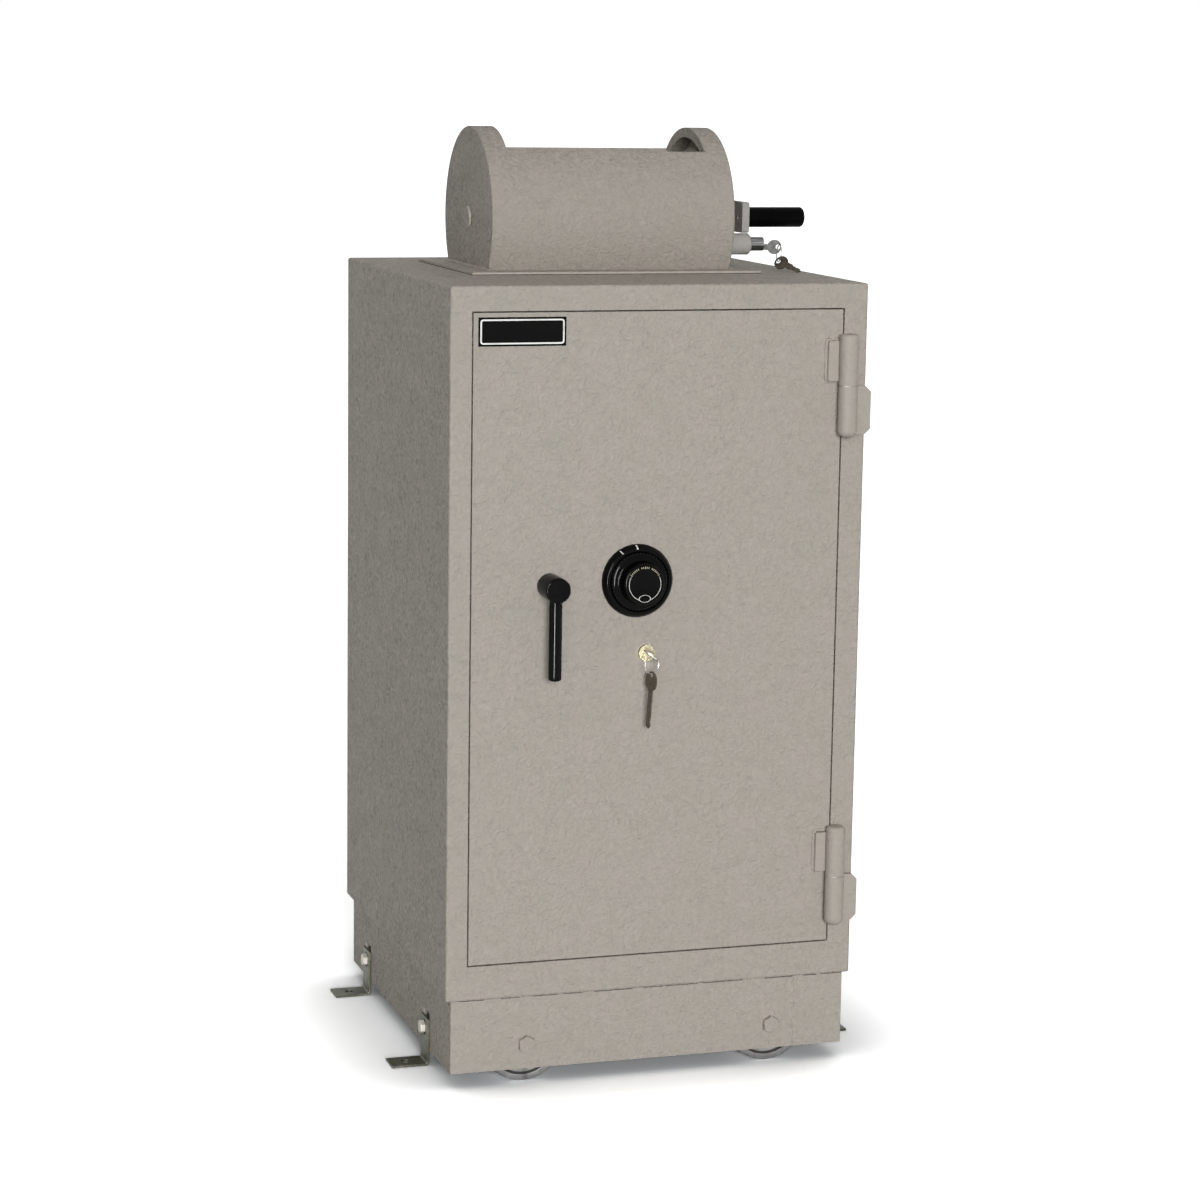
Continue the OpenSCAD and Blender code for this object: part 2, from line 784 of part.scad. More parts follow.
module crank_arm() {
    corner = 5;
    end_r = arm_h / 2;
    past_grip = 17;
    nose = grip_reach + past_grip;
    color("#b3aca3") from_front() difference() {
        union() {
            translate([arm_x0, hop_back - nose, arm_z - end_r]) rotate([90, 0, 90])
                linear_extrude(arm_t) {
                    round_rect(nose, arm_h, corner);
                    translate([corner, 0]) square([nose - corner, arm_h]);
                    translate([nose, end_r]) circle(r = end_r);
                }
            rod_x([hop_len / 2 + bush_flange + part_gap, hop_back, hop_z], shaft_r + 5,
                arm_off - bush_flange - part_gap + eps);
        }
        rod_x([hop_len / 2, hop_back, hop_z], shaft_r, arm_x1 - hop_len / 2 + 1);
        rod_x([arm_x0 - 1, hop_back - grip_reach, arm_z], stud_r, arm_t + 2);
    }
}

module grip_stud() {
    color("#3b3a38") from_front() {
        rod_x([arm_x0 + 2, hop_back - grip_reach, arm_z], stud_r, arm_t + grip_len - 10);
    }
}

module crank_grip() {
    nose = 5;
    color("#141414") from_front() difference() {
        turned_x([arm_x1, hop_back - grip_reach, arm_z]) {
            square([grip_r, grip_len - nose]);
            square([grip_r - nose, grip_len]);
            translate([grip_r - nose, grip_len - nose]) intersection() {
                circle(r = nose);
                square(nose);
            }
        }
        rod_x([arm_x1 - 1, hop_back - grip_reach, arm_z], stud_r, grip_len - 7);
    }
}

// Hopper lock

module plunger() {
    flutes = 12;
    color("#2e2d2c") from_front() difference() {
        union() {
            rod_x([plunger_x0, lock_y, lock_z], plunger_r, plunger_x1 - plunger_x0);
            rod_x([lock_pin_x0, lock_y, lock_z], lock_pin_r, plunger_x0 - lock_pin_x0 + eps);
        }
        rod_x([plug_x0, lock_y, plug_z], hop_plug_r + run_gap, plunger_x1 - plug_x0 + 1);
        for (i = [-3 : 3]) translate([boss_x1 + 1, lock_y, lock_z]) rotate([i * 360 / flutes, 0, 0])
            rod_x([0, 0, plunger_r + 0.6], 1.4, plunger_out - 3);
    }
}

// A plug about the Z axis, its mouth at the origin, with a keyway along X
module lock_plug(r, depth, cut) {
    difference() {
        translate([0, 0, -depth]) cylinder(r = r, h = depth);
        box([-cut[4] - 0.2, -key_t / 2 - 0.1, -cut[3] - 1], [cut[4] + 0.2, key_t / 2 + 0.1, 1]);
    }
}

// How far a key's bow centre and its eye lie above its shoulder
function bow_at(cut) = cut[2] + cut[0] + cut[1];
function eye_at(cut) = bow_at(cut) + cut[0] - eye_r - 1.6;

// A key along the Z axis in the XZ plane: its shoulder at the origin, its bow above
module key_shape(cut) {
    w = cut[4];
    blade = cut[3];
    low = cut[2] + cut[0];
    difference() {
        rotate([90, 0, 0]) translate([0, 0, -key_t / 2]) linear_extrude(key_t) difference() {
            union() {
                polygon([[-w, low], [-w, -blade + key_tip], [-w / 2, -blade + key_tip / 2],
                    [0.5, -blade], [w, -blade + key_tip], [w, low]]);
                translate([-w - key_shoulder, 0]) square([2 * (w + key_shoulder), low]);
                translate([-cut[0], low]) square([2 * cut[0], cut[1]]);
                for (z = [low, bow_at(cut)]) translate([0, z]) circle(r = cut[0]);
            }
            translate([0, eye_at(cut)]) circle(r = eye_r);
            for (i = [0 : 2]) translate([w, -blade + 6 + i * 4]) circle(r = 1 + 0.3 * (i % 2));
        }
        for (s = [-1, 1]) {
            box([-0.7 * groove_w, s * key_t / 2 - groove_d, key_tip + 0.5 - blade],
                [0.3 * groove_w, s * key_t / 2 + groove_d, -1.5]);
        }
    }
}

// Turns its children so that their X, Y and Z axes lie along a, b and c
module along(a, b, c, origin) {
    multmatrix([[a[0], b[0], c[0], origin[0]], [a[1], b[1], c[1], origin[1]],
            [a[2], b[2], c[2], origin[2]]])
        children();
}

module hop_lock_frame() {
    translate([plunger_x1, lock_y, plug_z]) rotate([90, 0, 90]) rotate([0, 0, 90]) children();
}

module plunger_plug() {
    color("#8d8a86") from_front() hop_lock_frame() lock_plug(hop_plug_r, plunger_x1 - plug_x0, hop_cut);
}

module hopper_key() {
    color("#a7a39c") from_front() hop_lock_frame() key_shape(hop_cut);
}

// A ring threaded at p along the unit vector a, with its middle towards b
module wire_ring(p, a, b) {
    along(a, b, cross(a, b), p + ring_r * b) rotate_extrude() translate([ring_r, 0])
        circle(r = wire_r, $fn = 24);
}

function hop_eye() = [plunger_x1 + eye_at(hop_cut), lock_y, plug_z];

module hopper_key_ring() {
    color("#c9c7c3") from_front() wire_ring(hop_eye(), hop_thread, hop_hang);
}

// The spare key hangs on the ring and leans its blade on the roof
module hopper_spare_key() {
    n = hop_spare_face;
    eye = hop_eye() + ring_r * ((1 - cos(hop_spare_at)) * hop_hang + sin(hop_spare_at) * hop_thread);
    steep = norm([n[0], n[1]]);
    level = [n[1], -n[0], 0] / steep;
    rise = cross(level, n);
    straight = eye_at(hop_cut) + hop_blade - key_tip;
    drop = eye[2] - body_z1 - part_gap - key_t / 2 * abs(n[2]);
    slope = asin(drop / (steep * norm([straight, hop_cut[4]]))) - atan2(hop_cut[4], straight);
    down = cos(slope) * level - sin(slope) * rise;
    color("#4a4137") from_front() along(cross(n, -down), n, -down, eye)
        translate([0, 0, -eye_at(hop_cut)]) key_shape(hop_cut);
}

// Door

module door_holes(y0, y1) {
    rod_y([handle_x, y0, handle_z], spindle_r + run_gap, y1 - y0);
    rod_y([dial_x, y0, dial_z], dial_spindle_r + run_gap, y1 - y0);
    rod_y([key_x, y0, key_z], key_lock_r, y1 - y0);
}

module door_plate() {
    color("#a8a095") from_front() difference() {
        box([door_x0, 0, door_z0], [door_x1, plate_t, door_z1]);
        door_holes(-1, plate_t + 1);
    }
}

module door_rim() {
    inset = rim_inset + rim_t;
    color("#8f887f") from_front() difference() {
        frame_y(door_x0 + inset, door_x1 - inset, door_z0 + inset, door_z1 - inset, rim_t, plate_t, rim_y1);
        for (z = bolt_ends) {
            rod_x([door_x0, bolt_y, z], bolt_r + part_gap, inset + 2);
        }
        for (z = dead_ends) {
            rod_x([door_x1 - inset - 2, bolt_y, z], dead_r, inset + 4);
        }
    }
}

// The back cover's screws: four in the corners, and four clear of the bolt bar
// Halfway between two bolts, but never within reach of the turning cam
function screw_row(i) = let (half = (bolt_ends[i] + bolt_ends[i + 1]) / 2, off = half - handle_z)
    handle_z + (off < 0 ? -1 : 1) * max(abs(off), cam_r + post_r + 1);

function cover_points() = concat(
    [for (x = [door_x0 + screw_edge, door_x1 - screw_edge],
        z = [door_z0 + screw_edge, door_z1 - screw_edge]) [x, z]],
    [for (x = [bar_x1 + 12, door_x1 - screw_edge], i = [0, 1]) [x, screw_row(i)]]);

module door_cover() {
    color("#8a8379") from_front() difference() {
        box([door_x0 + rim_inset + 1, rim_y1, door_z0 + rim_inset + 1],
            [door_x1 - rim_inset - 1, cover_y1, door_z1 - rim_inset - 1]);
        for (p = cover_points()) rod_y([p[0], rim_y1 - 1, p[1]], 2.5, cover_t + 2);
    }
}

// Screws with low heads, in tapped posts welded to the front plate
module cover_screws() {
    head = min(0.8, stop_gap * 0.8);
    color("#b8b5ae") from_front() for (p = cover_points()) {
        rod_y([p[0], cover_y1, p[1]], screw_r, head);
        rod_y([p[0], rim_y1 - eps, p[1]], 2.45, cover_t + 2 * eps);
        rod_y([p[0], plate_t, p[1]], post_r, rim_d);
    }
}

module hinge_end_profile(r, len, tip) {
    square([r, len - tip]);
    square([r - tip, len]);
    translate([r - tip, len - tip]) intersection() {
        circle(r = tip);
        square(tip);
    }
}

// One half of a barrel with its leaf, above its joint at z = 0; s is the leaf's side
// and chamfer is cut off the leaf's corners; the leaf is tall and starts low above the joint
module hinge_half(s, x_far, tip, chamfer, low, tall) {
    bore_depth = barrel_half - 14;
    difference() {
        union() {
            translate([hinge_x, hinge_y, washer_t / 2]) rotate_extrude()
                hinge_end_profile(barrel_r, barrel_half - washer_t / 2, tip);
            translate([hinge_x, 0, low]) rotate([90, 0, 0]) linear_extrude(leaf_t)
                polygon([[s * 8, 0], [s * (x_far - chamfer), 0], [s * x_far, chamfer],
                    [s * x_far, tall - chamfer], [s * (x_far - chamfer), tall], [s * 8, tall]]);
            translate([hinge_x - (s < 0 ? 10 : 0), -leaf_t, low]) cube([10, leaf_t - 1, tall]);
        }
        rod_z([hinge_x, hinge_y, 0], hinge_pin_r + run_gap, bore_depth);
    }
}

module hinge_door_leaves() {
    reach = hinge_x - door_x1 + leaf_on_door;
    color("#a8a095") from_front() for (z = hinge_joints) translate([0, 0, z])
        hinge_half(-1, reach, 5, 1.5, leaf_gap, leaf_h);
}

module hinge_frame_leaves() {
    reach = body_w / 2 + leaf_past_side - hinge_x;
    color("#a39a8f") from_front() for (z = hinge_joints) translate([0, 0, z]) mirror([0, 0, 1])
        hinge_half(1, reach, 10, 8, washer_t / 2, leaf_h + leaf_longer);
}

module hinge_pins() {
    length = 2 * (barrel_half - 15);
    color("#9a9894") from_front() for (z = hinge_joints)
        rod_z([hinge_x, hinge_y, z - length / 2], hinge_pin_r, length);
}

module hinge_washers() {
    color("#b08d4a") from_front() for (z = hinge_joints) difference() {
        rod_z([hinge_x, hinge_y, z - washer_t / 2], barrel_r - 1, washer_t);
        rod_z([hinge_x, hinge_y, z - washer_t], hinge_pin_r + run_gap, 2 * washer_t);
    }
}

module nameplate() {
    color("#111111") from_front() translate([door_x0 + name_side, 0, door_z1 - name_top - name_h])
        rotate([90, 0, 0]) linear_extrude(name_t) round_rect(name_w, name_h, 1);
}

// Handle and bolt work

module handle_hub() {
    nose = 2.5;
    color("#101010") from_front() {
        turned_y([handle_x, -hub_len, handle_z]) polygon([
            [0, 0], [hub_r - nose, 0], [hub_r, nose], [hub_r, hub_len - part_gap],
            [spindle_r, hub_len - part_gap], [spindle_r, hub_len + cam_y1], [0, hub_len + cam_y1]]);
    }
}

module handle_lever() {
    nose = 3;
    color("#101010") from_front() difference() {
        translate([handle_x, -lever_out, handle_z]) mirror([0, 0, 1]) rotate_extrude()
            hinge_end_profile(lever_r, lever_len, nose);
        rod_y([handle_x, -hub_len - 1, handle_z], hub_r, hub_len + 2);
    }
}

// The cam on the spindle's inner end, with the pin that drives the bolt bar
module handle_cam() {
    pin_turn = throw_deg / 2;
    color("#8b8985") from_front() {
        difference() {
            rod_y([handle_x, cam_y0, handle_z], cam_r, cam_y1 - cam_y0);
            rod_y([handle_x, cam_y0 - 1, handle_z], spindle_r, cam_y1 - cam_y0 + 2);
        }
        rod_y([handle_x + crank_r * sin(pin_turn), bar_y0, handle_z - crank_r * cos(pin_turn)],
            crank_pin_r, cam_y0 - bar_y0 + eps);
    }
}

module bolt_bar() {
    slot_x = handle_x + crank_r * sin(throw_deg / 2);
    slot_half = crank_pin_r + pin_play;
    tab_x1 = handle_x + spindle_r + 1 + bolt_travel + 10;
    low = crank_r + crank_pin_r + 1;
    color("#9b9994") from_front() difference() {
        union() {
            box([bar_x0, bar_y0, bolt_ends[0] - bolt_r], [bar_x1, bar_y1, bolt_ends[2] + bolt_r]);
            box([bar_x1 - eps, bar_y0, handle_z - low - 14],
                [tab_x1, bar_y1, handle_z + spindle_r + 14]);
        }
        box([handle_x - spindle_r - 1, bar_y0 - 1, handle_z - spindle_r - 1],
            [handle_x + spindle_r + 1 + bolt_travel, bar_y1 + 1, handle_z + spindle_r + 1]);
        box([slot_x - slot_half, bar_y0 - 1, handle_z - low], [slot_x + slot_half, bar_y1 + 1, handle_z]);
    }
}

module locking_bolts() {
    color("#c2c2c0") from_front() for (z = bolt_ends) {
        turned_x([bolt_x0, bolt_y, z]) polygon([
            [0, 0], [bolt_r - 1.5, 0], [bolt_r, 1.5], [bolt_r, bar_x0 - bolt_x0], [0, bar_x0 - bolt_x0]]);
    }
}

module bolt_guides() {
    color("#77736d") from_front() for (z = bolt_ends) difference() {
        box([guide_x0, plate_t, z - bolt_r - 8], [guide_x1, bolt_y + bolt_r + 6, z + bolt_r + 8]);
        rod_x([guide_x0 - 1, bolt_y, z], bolt_r + run_gap, guide_x1 - guide_x0 + 2);
    }
}

module dead_bolts() {
    start = door_x1 - rim_inset - rim_t - 10;
    color("#c2c2c0") from_front() for (z = dead_ends)
        rod_x([start, bolt_y, z], dead_r, open_x1 + dead_reach - start);
}

// Dial and combination lock

module dial_ring() {
    lip = 12;
    color("#0d0d0d") from_front() turned_y([dial_x, -lip, dial_z]) polygon([
        [dial_r + 1, 0], [dial_ring_r - 3, 0], [dial_ring_r, 4], [dial_ring_r, lip],
        [dial_spindle_r + 4, lip], [dial_spindle_r + 4, lip - 3], [dial_r + 1, lip - 3]]);
}

module dial_knob() {
    grip = dial_r * 0.735;
    nose = dial_r * 0.7;
    plate_face = 16.5; // how far the graduated plate stands off the door
    plate = dial_out - plate_face;
    back = dial_out - 4;
    color("#0d0d0d") from_front() turned_y([dial_x, -dial_out, dial_z]) polygon([
        [0, 0], [nose - 4, 0], [nose - 1.2, 1.2], [nose, 4], [grip, plate - 3], [grip + 2, plate - 0.5],
        [dial_r - 5, plate + 1], [dial_r - 1.5, plate + 3], [dial_r, plate + 6.5], [dial_r, back],
        [dial_spindle_r, back], [dial_spindle_r, back - 2], [0, back - 2]]);
}

module dial_spindle() {
    color("#b3b1ac") from_front() rod_y([dial_x, -6, dial_z], dial_spindle_r, case_y1 - 4 + 6);
}

module combination_case() {
    color("#a9a7a1") from_front() difference() {
        box([dial_x - case_w / 2, case_y0, dial_z - case_h / 2],
            [dial_x + case_w / 2, case_y1, dial_z + case_h / 2]);
        rod_y([dial_x, case_y0 + 3, dial_z], pack_r + 1.5, case_y1 - case_y0 - 6);
        rod_y([dial_x, case_y0 - 1, dial_z], dial_spindle_r + run_gap, 5);
    }
}

// The drive cam and three tumbler wheels on the dial's spindle
module wheel_pack() {
    pitch = 5.5;
    color("#c0a566") from_front() for (i = [0 : 3]) difference() {
        rod_y([dial_x, case_y0 + 5 + i * pitch, dial_z], pack_r - (i == 0 ? 4 : 0), 3);
        rod_y([dial_x, case_y0 + 4 + i * pitch, dial_z], dial_spindle_r, 5);
        box([dial_x - 3, case_y0 + 4 + i * pitch, dial_z + pack_r - 7 - (i == 0 ? 4 : 0)],
            [dial_x + 3, case_y0 + 9 + i * pitch, dial_z + pack_r + 1]);
    }
}

// Key lock, its key and the spare that hangs on the ring

module key_lock_body() {
    lip = 4;
    case_t = 20;
    below = 20; // how far the case reaches below the barrel
    color("#b79a55") from_front() difference() {
        union() {
            rod_y([key_x, -lip, key_z], key_lock_r, lip + key_lock_d);
            box([key_x - key_lock_r - 8, plate_t, key_z - key_lock_r - below],
                [key_x + key_lock_r + 8, plate_t + case_t, key_z + key_lock_r]);
        }
        rod_y([key_x, -lip - 1, key_z], plug_r + run_gap, lip + key_lock_d + 2);
    }
}

module door_lock_frame() {
    translate([key_x, key_rest_y, key_z]) rotate([90, key_tilt, 0]) children();
}

module key_plug() {
    color("#b9a468") from_front() door_lock_frame() lock_plug(plug_r, door_blade + 3, door_cut);
}

module door_key() {
    color("#cfc9b8") from_front() door_lock_frame() key_shape(door_cut);
}

function door_eye() = [key_x, key_rest_y - eye_at(door_cut), key_z];

module door_key_ring() {
    color("#cfccc6") from_front() wire_ring(door_eye(), door_thread, [0, 0, -1]);
}

module door_spare_key() {
    sag = eye_r - wire_r - part_gap;
    color("#5c5347") from_front() along(cross(door_thread, [0, 0, 1]), door_thread, [0, 0, 1],
            door_eye() - [0, 0, 2 * ring_r + sag])
        rotate([0, door_spare_lean, 0]) translate([0, 0, -eye_at(door_cut)]) key_shape(door_cut);
}

body_shell();
concrete_fill();
inner_liner();
door_jamb();
drop_chute();
plinth();
wheel_hangers();
axle_bolts();
anchor_brackets();
bracket_bolts();
hopper_flange();
hopper_shell();
hopper_end_left();
hopper_end_right();
hopper_bushings();
baffle_bars();
lock_boss();
hinge_frame_leaves();
hinge_pins();
hinge_washers();
wheel_front_left();
wheel_front_right();
wheel_rear_left();
wheel_rear_right();
drum_trough();
drum_ends();
drum_shafts();
crank_arm();
crank_grip();
grip_stud();
plunger();
plunger_plug();
hopper_key();
hopper_key_ring();
hopper_spare_key();
door_plate();
door_rim();
door_cover();
cover_screws();
dial_ring();
combination_case();
key_lock_body();
bolt_guides();
dead_bolts();
hinge_door_leaves();
nameplate();
handle_hub();
handle_lever();
handle_cam();
bolt_bar();
locking_bolts();
dial_knob();
dial_spindle();
wheel_pack();
key_plug();
door_key();
door_key_ring();
door_spare_key();
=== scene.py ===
import json
import math
import random

import bmesh
import bpy
from mathutils import Matrix, Vector

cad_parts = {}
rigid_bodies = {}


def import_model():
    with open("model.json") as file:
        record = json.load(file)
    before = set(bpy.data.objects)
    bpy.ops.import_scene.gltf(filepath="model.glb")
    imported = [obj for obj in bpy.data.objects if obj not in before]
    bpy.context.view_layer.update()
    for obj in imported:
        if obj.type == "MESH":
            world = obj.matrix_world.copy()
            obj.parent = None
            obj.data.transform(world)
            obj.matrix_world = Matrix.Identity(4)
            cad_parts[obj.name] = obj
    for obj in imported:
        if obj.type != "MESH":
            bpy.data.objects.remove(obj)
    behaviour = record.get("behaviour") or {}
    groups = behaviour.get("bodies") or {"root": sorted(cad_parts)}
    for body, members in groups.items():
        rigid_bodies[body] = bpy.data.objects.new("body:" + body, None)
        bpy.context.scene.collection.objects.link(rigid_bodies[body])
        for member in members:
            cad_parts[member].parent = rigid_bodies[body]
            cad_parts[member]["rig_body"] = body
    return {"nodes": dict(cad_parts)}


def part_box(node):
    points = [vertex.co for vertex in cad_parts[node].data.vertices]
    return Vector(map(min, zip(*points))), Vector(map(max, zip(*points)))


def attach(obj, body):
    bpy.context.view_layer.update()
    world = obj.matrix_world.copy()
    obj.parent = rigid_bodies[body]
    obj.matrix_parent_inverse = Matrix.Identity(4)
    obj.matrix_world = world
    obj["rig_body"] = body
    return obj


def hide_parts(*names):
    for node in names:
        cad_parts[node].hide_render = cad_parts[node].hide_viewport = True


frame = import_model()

scene = bpy.context.scene
nodes = frame["nodes"]
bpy.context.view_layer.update()  # brings the scene up to date before any piece is added
print("frame loaded:", len(nodes), "nodes")


# Camera, light and floor

cameraValues = {
    "place": (-1.3954, -4.3599, 1.4191),
    "yaw": -17.796,
    "pitch": -9.720,
    "roll": 0.876,
    "lens": 95.064,
    "sensor": 36.0,
}

lightValues = {
    "skyTint": (1.0, 0.975, 0.935),
    "skyLevel": 0.295,  # what the surroundings give a matt surface
    "keyLevel": 0.79,  # what the key lamp adds to a surface that faces it
    "keyFrom": (-0.150, -0.972, 0.185),
    "keyAngle": 22.0,
    "stripPower": 420.0,  # a tall strip lamp that only shows as highlights on shiny pieces
    "stripPlace": (-1.64, -2.91, 1.0),
    "stripSize": (0.26, 2.0),
    "floorSize": 60.0,
    "floorBounce": 0.5,
    "floorSeen": 3.3,  # the floor's white as the camera sees it
    "floorTint": (0.95, 0.975, 1.0),  # takes the sky's warmth out of the floor
    "contactReach": 0.24,  # how far the painted contact shadow round the object's foot goes
    "contactFrom": 0.45,  # how open the floor is where its dark is deepest
    "contactShade": 0.40,
}


def placeCamera():
    data = bpy.data.cameras.new("photoCamera")
    data.lens = cameraValues["lens"]
    data.sensor_width = cameraValues["sensor"]
    data.clip_end = 200.0
    camera = bpy.data.objects.new("photoCamera", data)
    turn = (Matrix.Rotation(math.radians(cameraValues["yaw"]), 4, "Z")
            @ Matrix.Rotation(math.radians(90 + cameraValues["pitch"]), 4, "X")
            @ Matrix.Rotation(math.radians(cameraValues["roll"]), 4, "Z"))
    camera.matrix_world = Matrix.Translation(cameraValues["place"]) @ turn
    scene.collection.objects.link(camera)
    scene.camera = camera


# one shader node with its settings, socket values and links
def put(tree, kind, settings=None, values=None, feeds=None):
    node = tree.nodes.new(kind)
    for key, value in (settings or {}).items():
        setattr(node, key, value)
    for key, value in (values or {}).items():
        node.inputs[key].default_value = value
    for key, socket in (feeds or {}).items():
        tree.links.new(socket, node.inputs[key])
    return node


# 1 for a ray from the camera, a reflection or a ray through a clear piece, and 0 for matt light
def seenOrMirrored(tree):
    path = put(tree, "ShaderNodeLightPath")
    first = put(tree, "ShaderNodeMath", {"operation": "MAXIMUM"},
                feeds={0: path.outputs["Is Camera Ray"], 1: path.outputs["Is Glossy Ray"]})
    return put(tree, "ShaderNodeMath", {"operation": "MAXIMUM"},
               feeds={0: first.outputs[0], 1: path.outputs["Is Transmission Ray"]}).outputs[0]


def lightStudio():
    world = bpy.data.worlds.new("studio")
    world.use_nodes = True
    tree = world.node_tree
    tree.nodes.clear()
    seen = seenOrMirrored(tree)
    strength = put(tree, "ShaderNodeMapRange", values={"To Min": lightValues["skyLevel"], "To Max": 1.0},
                   feeds={"Value": seen})
    tint = put(tree, "ShaderNodeMix", {"data_type": "RGBA"}, {6: (*lightValues["skyTint"], 1), 7: (1, 1, 1, 1)},
               {"Factor": seen})
    back = put(tree, "ShaderNodeBackground", feeds={"Color": tint.outputs[2], "Strength": strength.outputs[0]})
    put(tree, "ShaderNodeOutputWorld", feeds={"Surface": back.outputs[0]})
    scene.world = world
    scene.view_settings.view_transform = "Standard"

    key = bpy.data.lights.new("keyLamp", "SUN")
    key.energy = lightValues["keyLevel"] * math.pi
    key.angle = math.radians(lightValues["keyAngle"])
    strip = bpy.data.lights.new("stripLamp", "AREA")
    strip.shape = "RECTANGLE"
    strip.energy = lightValues["stripPower"]
    strip.size, strip.size_y = lightValues["stripSize"]
    place = Vector(lightValues["stripPlace"])
    stripFrom = Vector((place.x, place.y, 0.0))  # it shines level, towards the object's axis
    for name, data, spot, way in (("keyLamp", key, Vector(), Vector(lightValues["keyFrom"])),
                                  ("stripLamp", strip, place, stripFrom)):
        lamp = bpy.data.objects.new(name, data)
        lamp.matrix_world = Matrix.Translation(spot) @ way.to_track_quat("Z", "Y").to_matrix().to_4x4()
        lamp.visible_camera = False
        lamp.visible_glossy = name == "stripLamp"
        lamp.visible_diffuse = name == "keyLamp"
        scene.collection.objects.link(lamp)


def layFloor():
    bm = bmesh.new()
    bmesh.ops.create_grid(bm, x_segments=1, y_segments=1, size=lightValues["floorSize"])
    mesh = bpy.data.meshes.new("studioFloor")
    bm.to_mesh(mesh)
    bm.free()
    floor = bpy.data.objects.new("studioFloor", mesh)
    scene.collection.objects.link(floor)
    paint = bpy.data.materials.new("studioFloor")
    paint.use_nodes = True
    tree = paint.node_tree
    tree.nodes.clear()
    seen = seenOrMirrored(tree)
    white = put(tree, "ShaderNodeMapRange",
                values={"To Min": lightValues["floorBounce"], "To Max": lightValues["floorSeen"]},
                feeds={"Value": seen})
    # the floor's colour is darkened near the object by ambient occlusion: a painted contact shadow over the lamps'
    # own
    near = put(tree, "ShaderNodeAmbientOcclusion", {"samples": 8}, {"Distance": lightValues["contactReach"]})
    shade = put(tree, "ShaderNodeMapRange", {"interpolation_type": "SMOOTHSTEP"},
                {"From Min": lightValues["contactFrom"], "To Min": lightValues["contactShade"]},
                {"Value": near.outputs["AO"]})
    tone = put(tree, "ShaderNodeMath", {"operation": "MULTIPLY"}, feeds={0: white.outputs[0], 1: shade.outputs[0]})
    grey = put(tree, "ShaderNodeVectorMath", {"operation": "SCALE"}, {0: lightValues["floorTint"]},
               {"Scale": tone.outputs[0]})
    matt = put(tree, "ShaderNodeBsdfDiffuse", feeds={"Color": grey.outputs[0]})
    put(tree, "ShaderNodeOutputMaterial", feeds={"Surface": matt.outputs[0]})
    mesh.materials.append(paint)


placeCamera()
lightStudio()
layFloor()
print("camera, light and floor set")


# Shared shader groups

def startGroup(name, inputs, outputs):
    group = bpy.data.node_groups.new(name, "ShaderNodeTree")
    for label, kind, value in inputs:
        socket = group.interface.new_socket(name=label, in_out="INPUT", socket_type=kind)
        if value is not None:
            socket.default_value = value
    for label, kind in outputs:
        group.interface.new_socket(name=label, in_out="OUTPUT", socket_type=kind)
    return group, group.nodes.new("NodeGroupInput").outputs, group.nodes.new("NodeGroupOutput").inputs


def scaled(tree, vector, factor):
    return put(tree, "ShaderNodeVectorMath", {"operation": "SCALE"}, {"Scale": factor},
               {0: vector}).outputs[0]
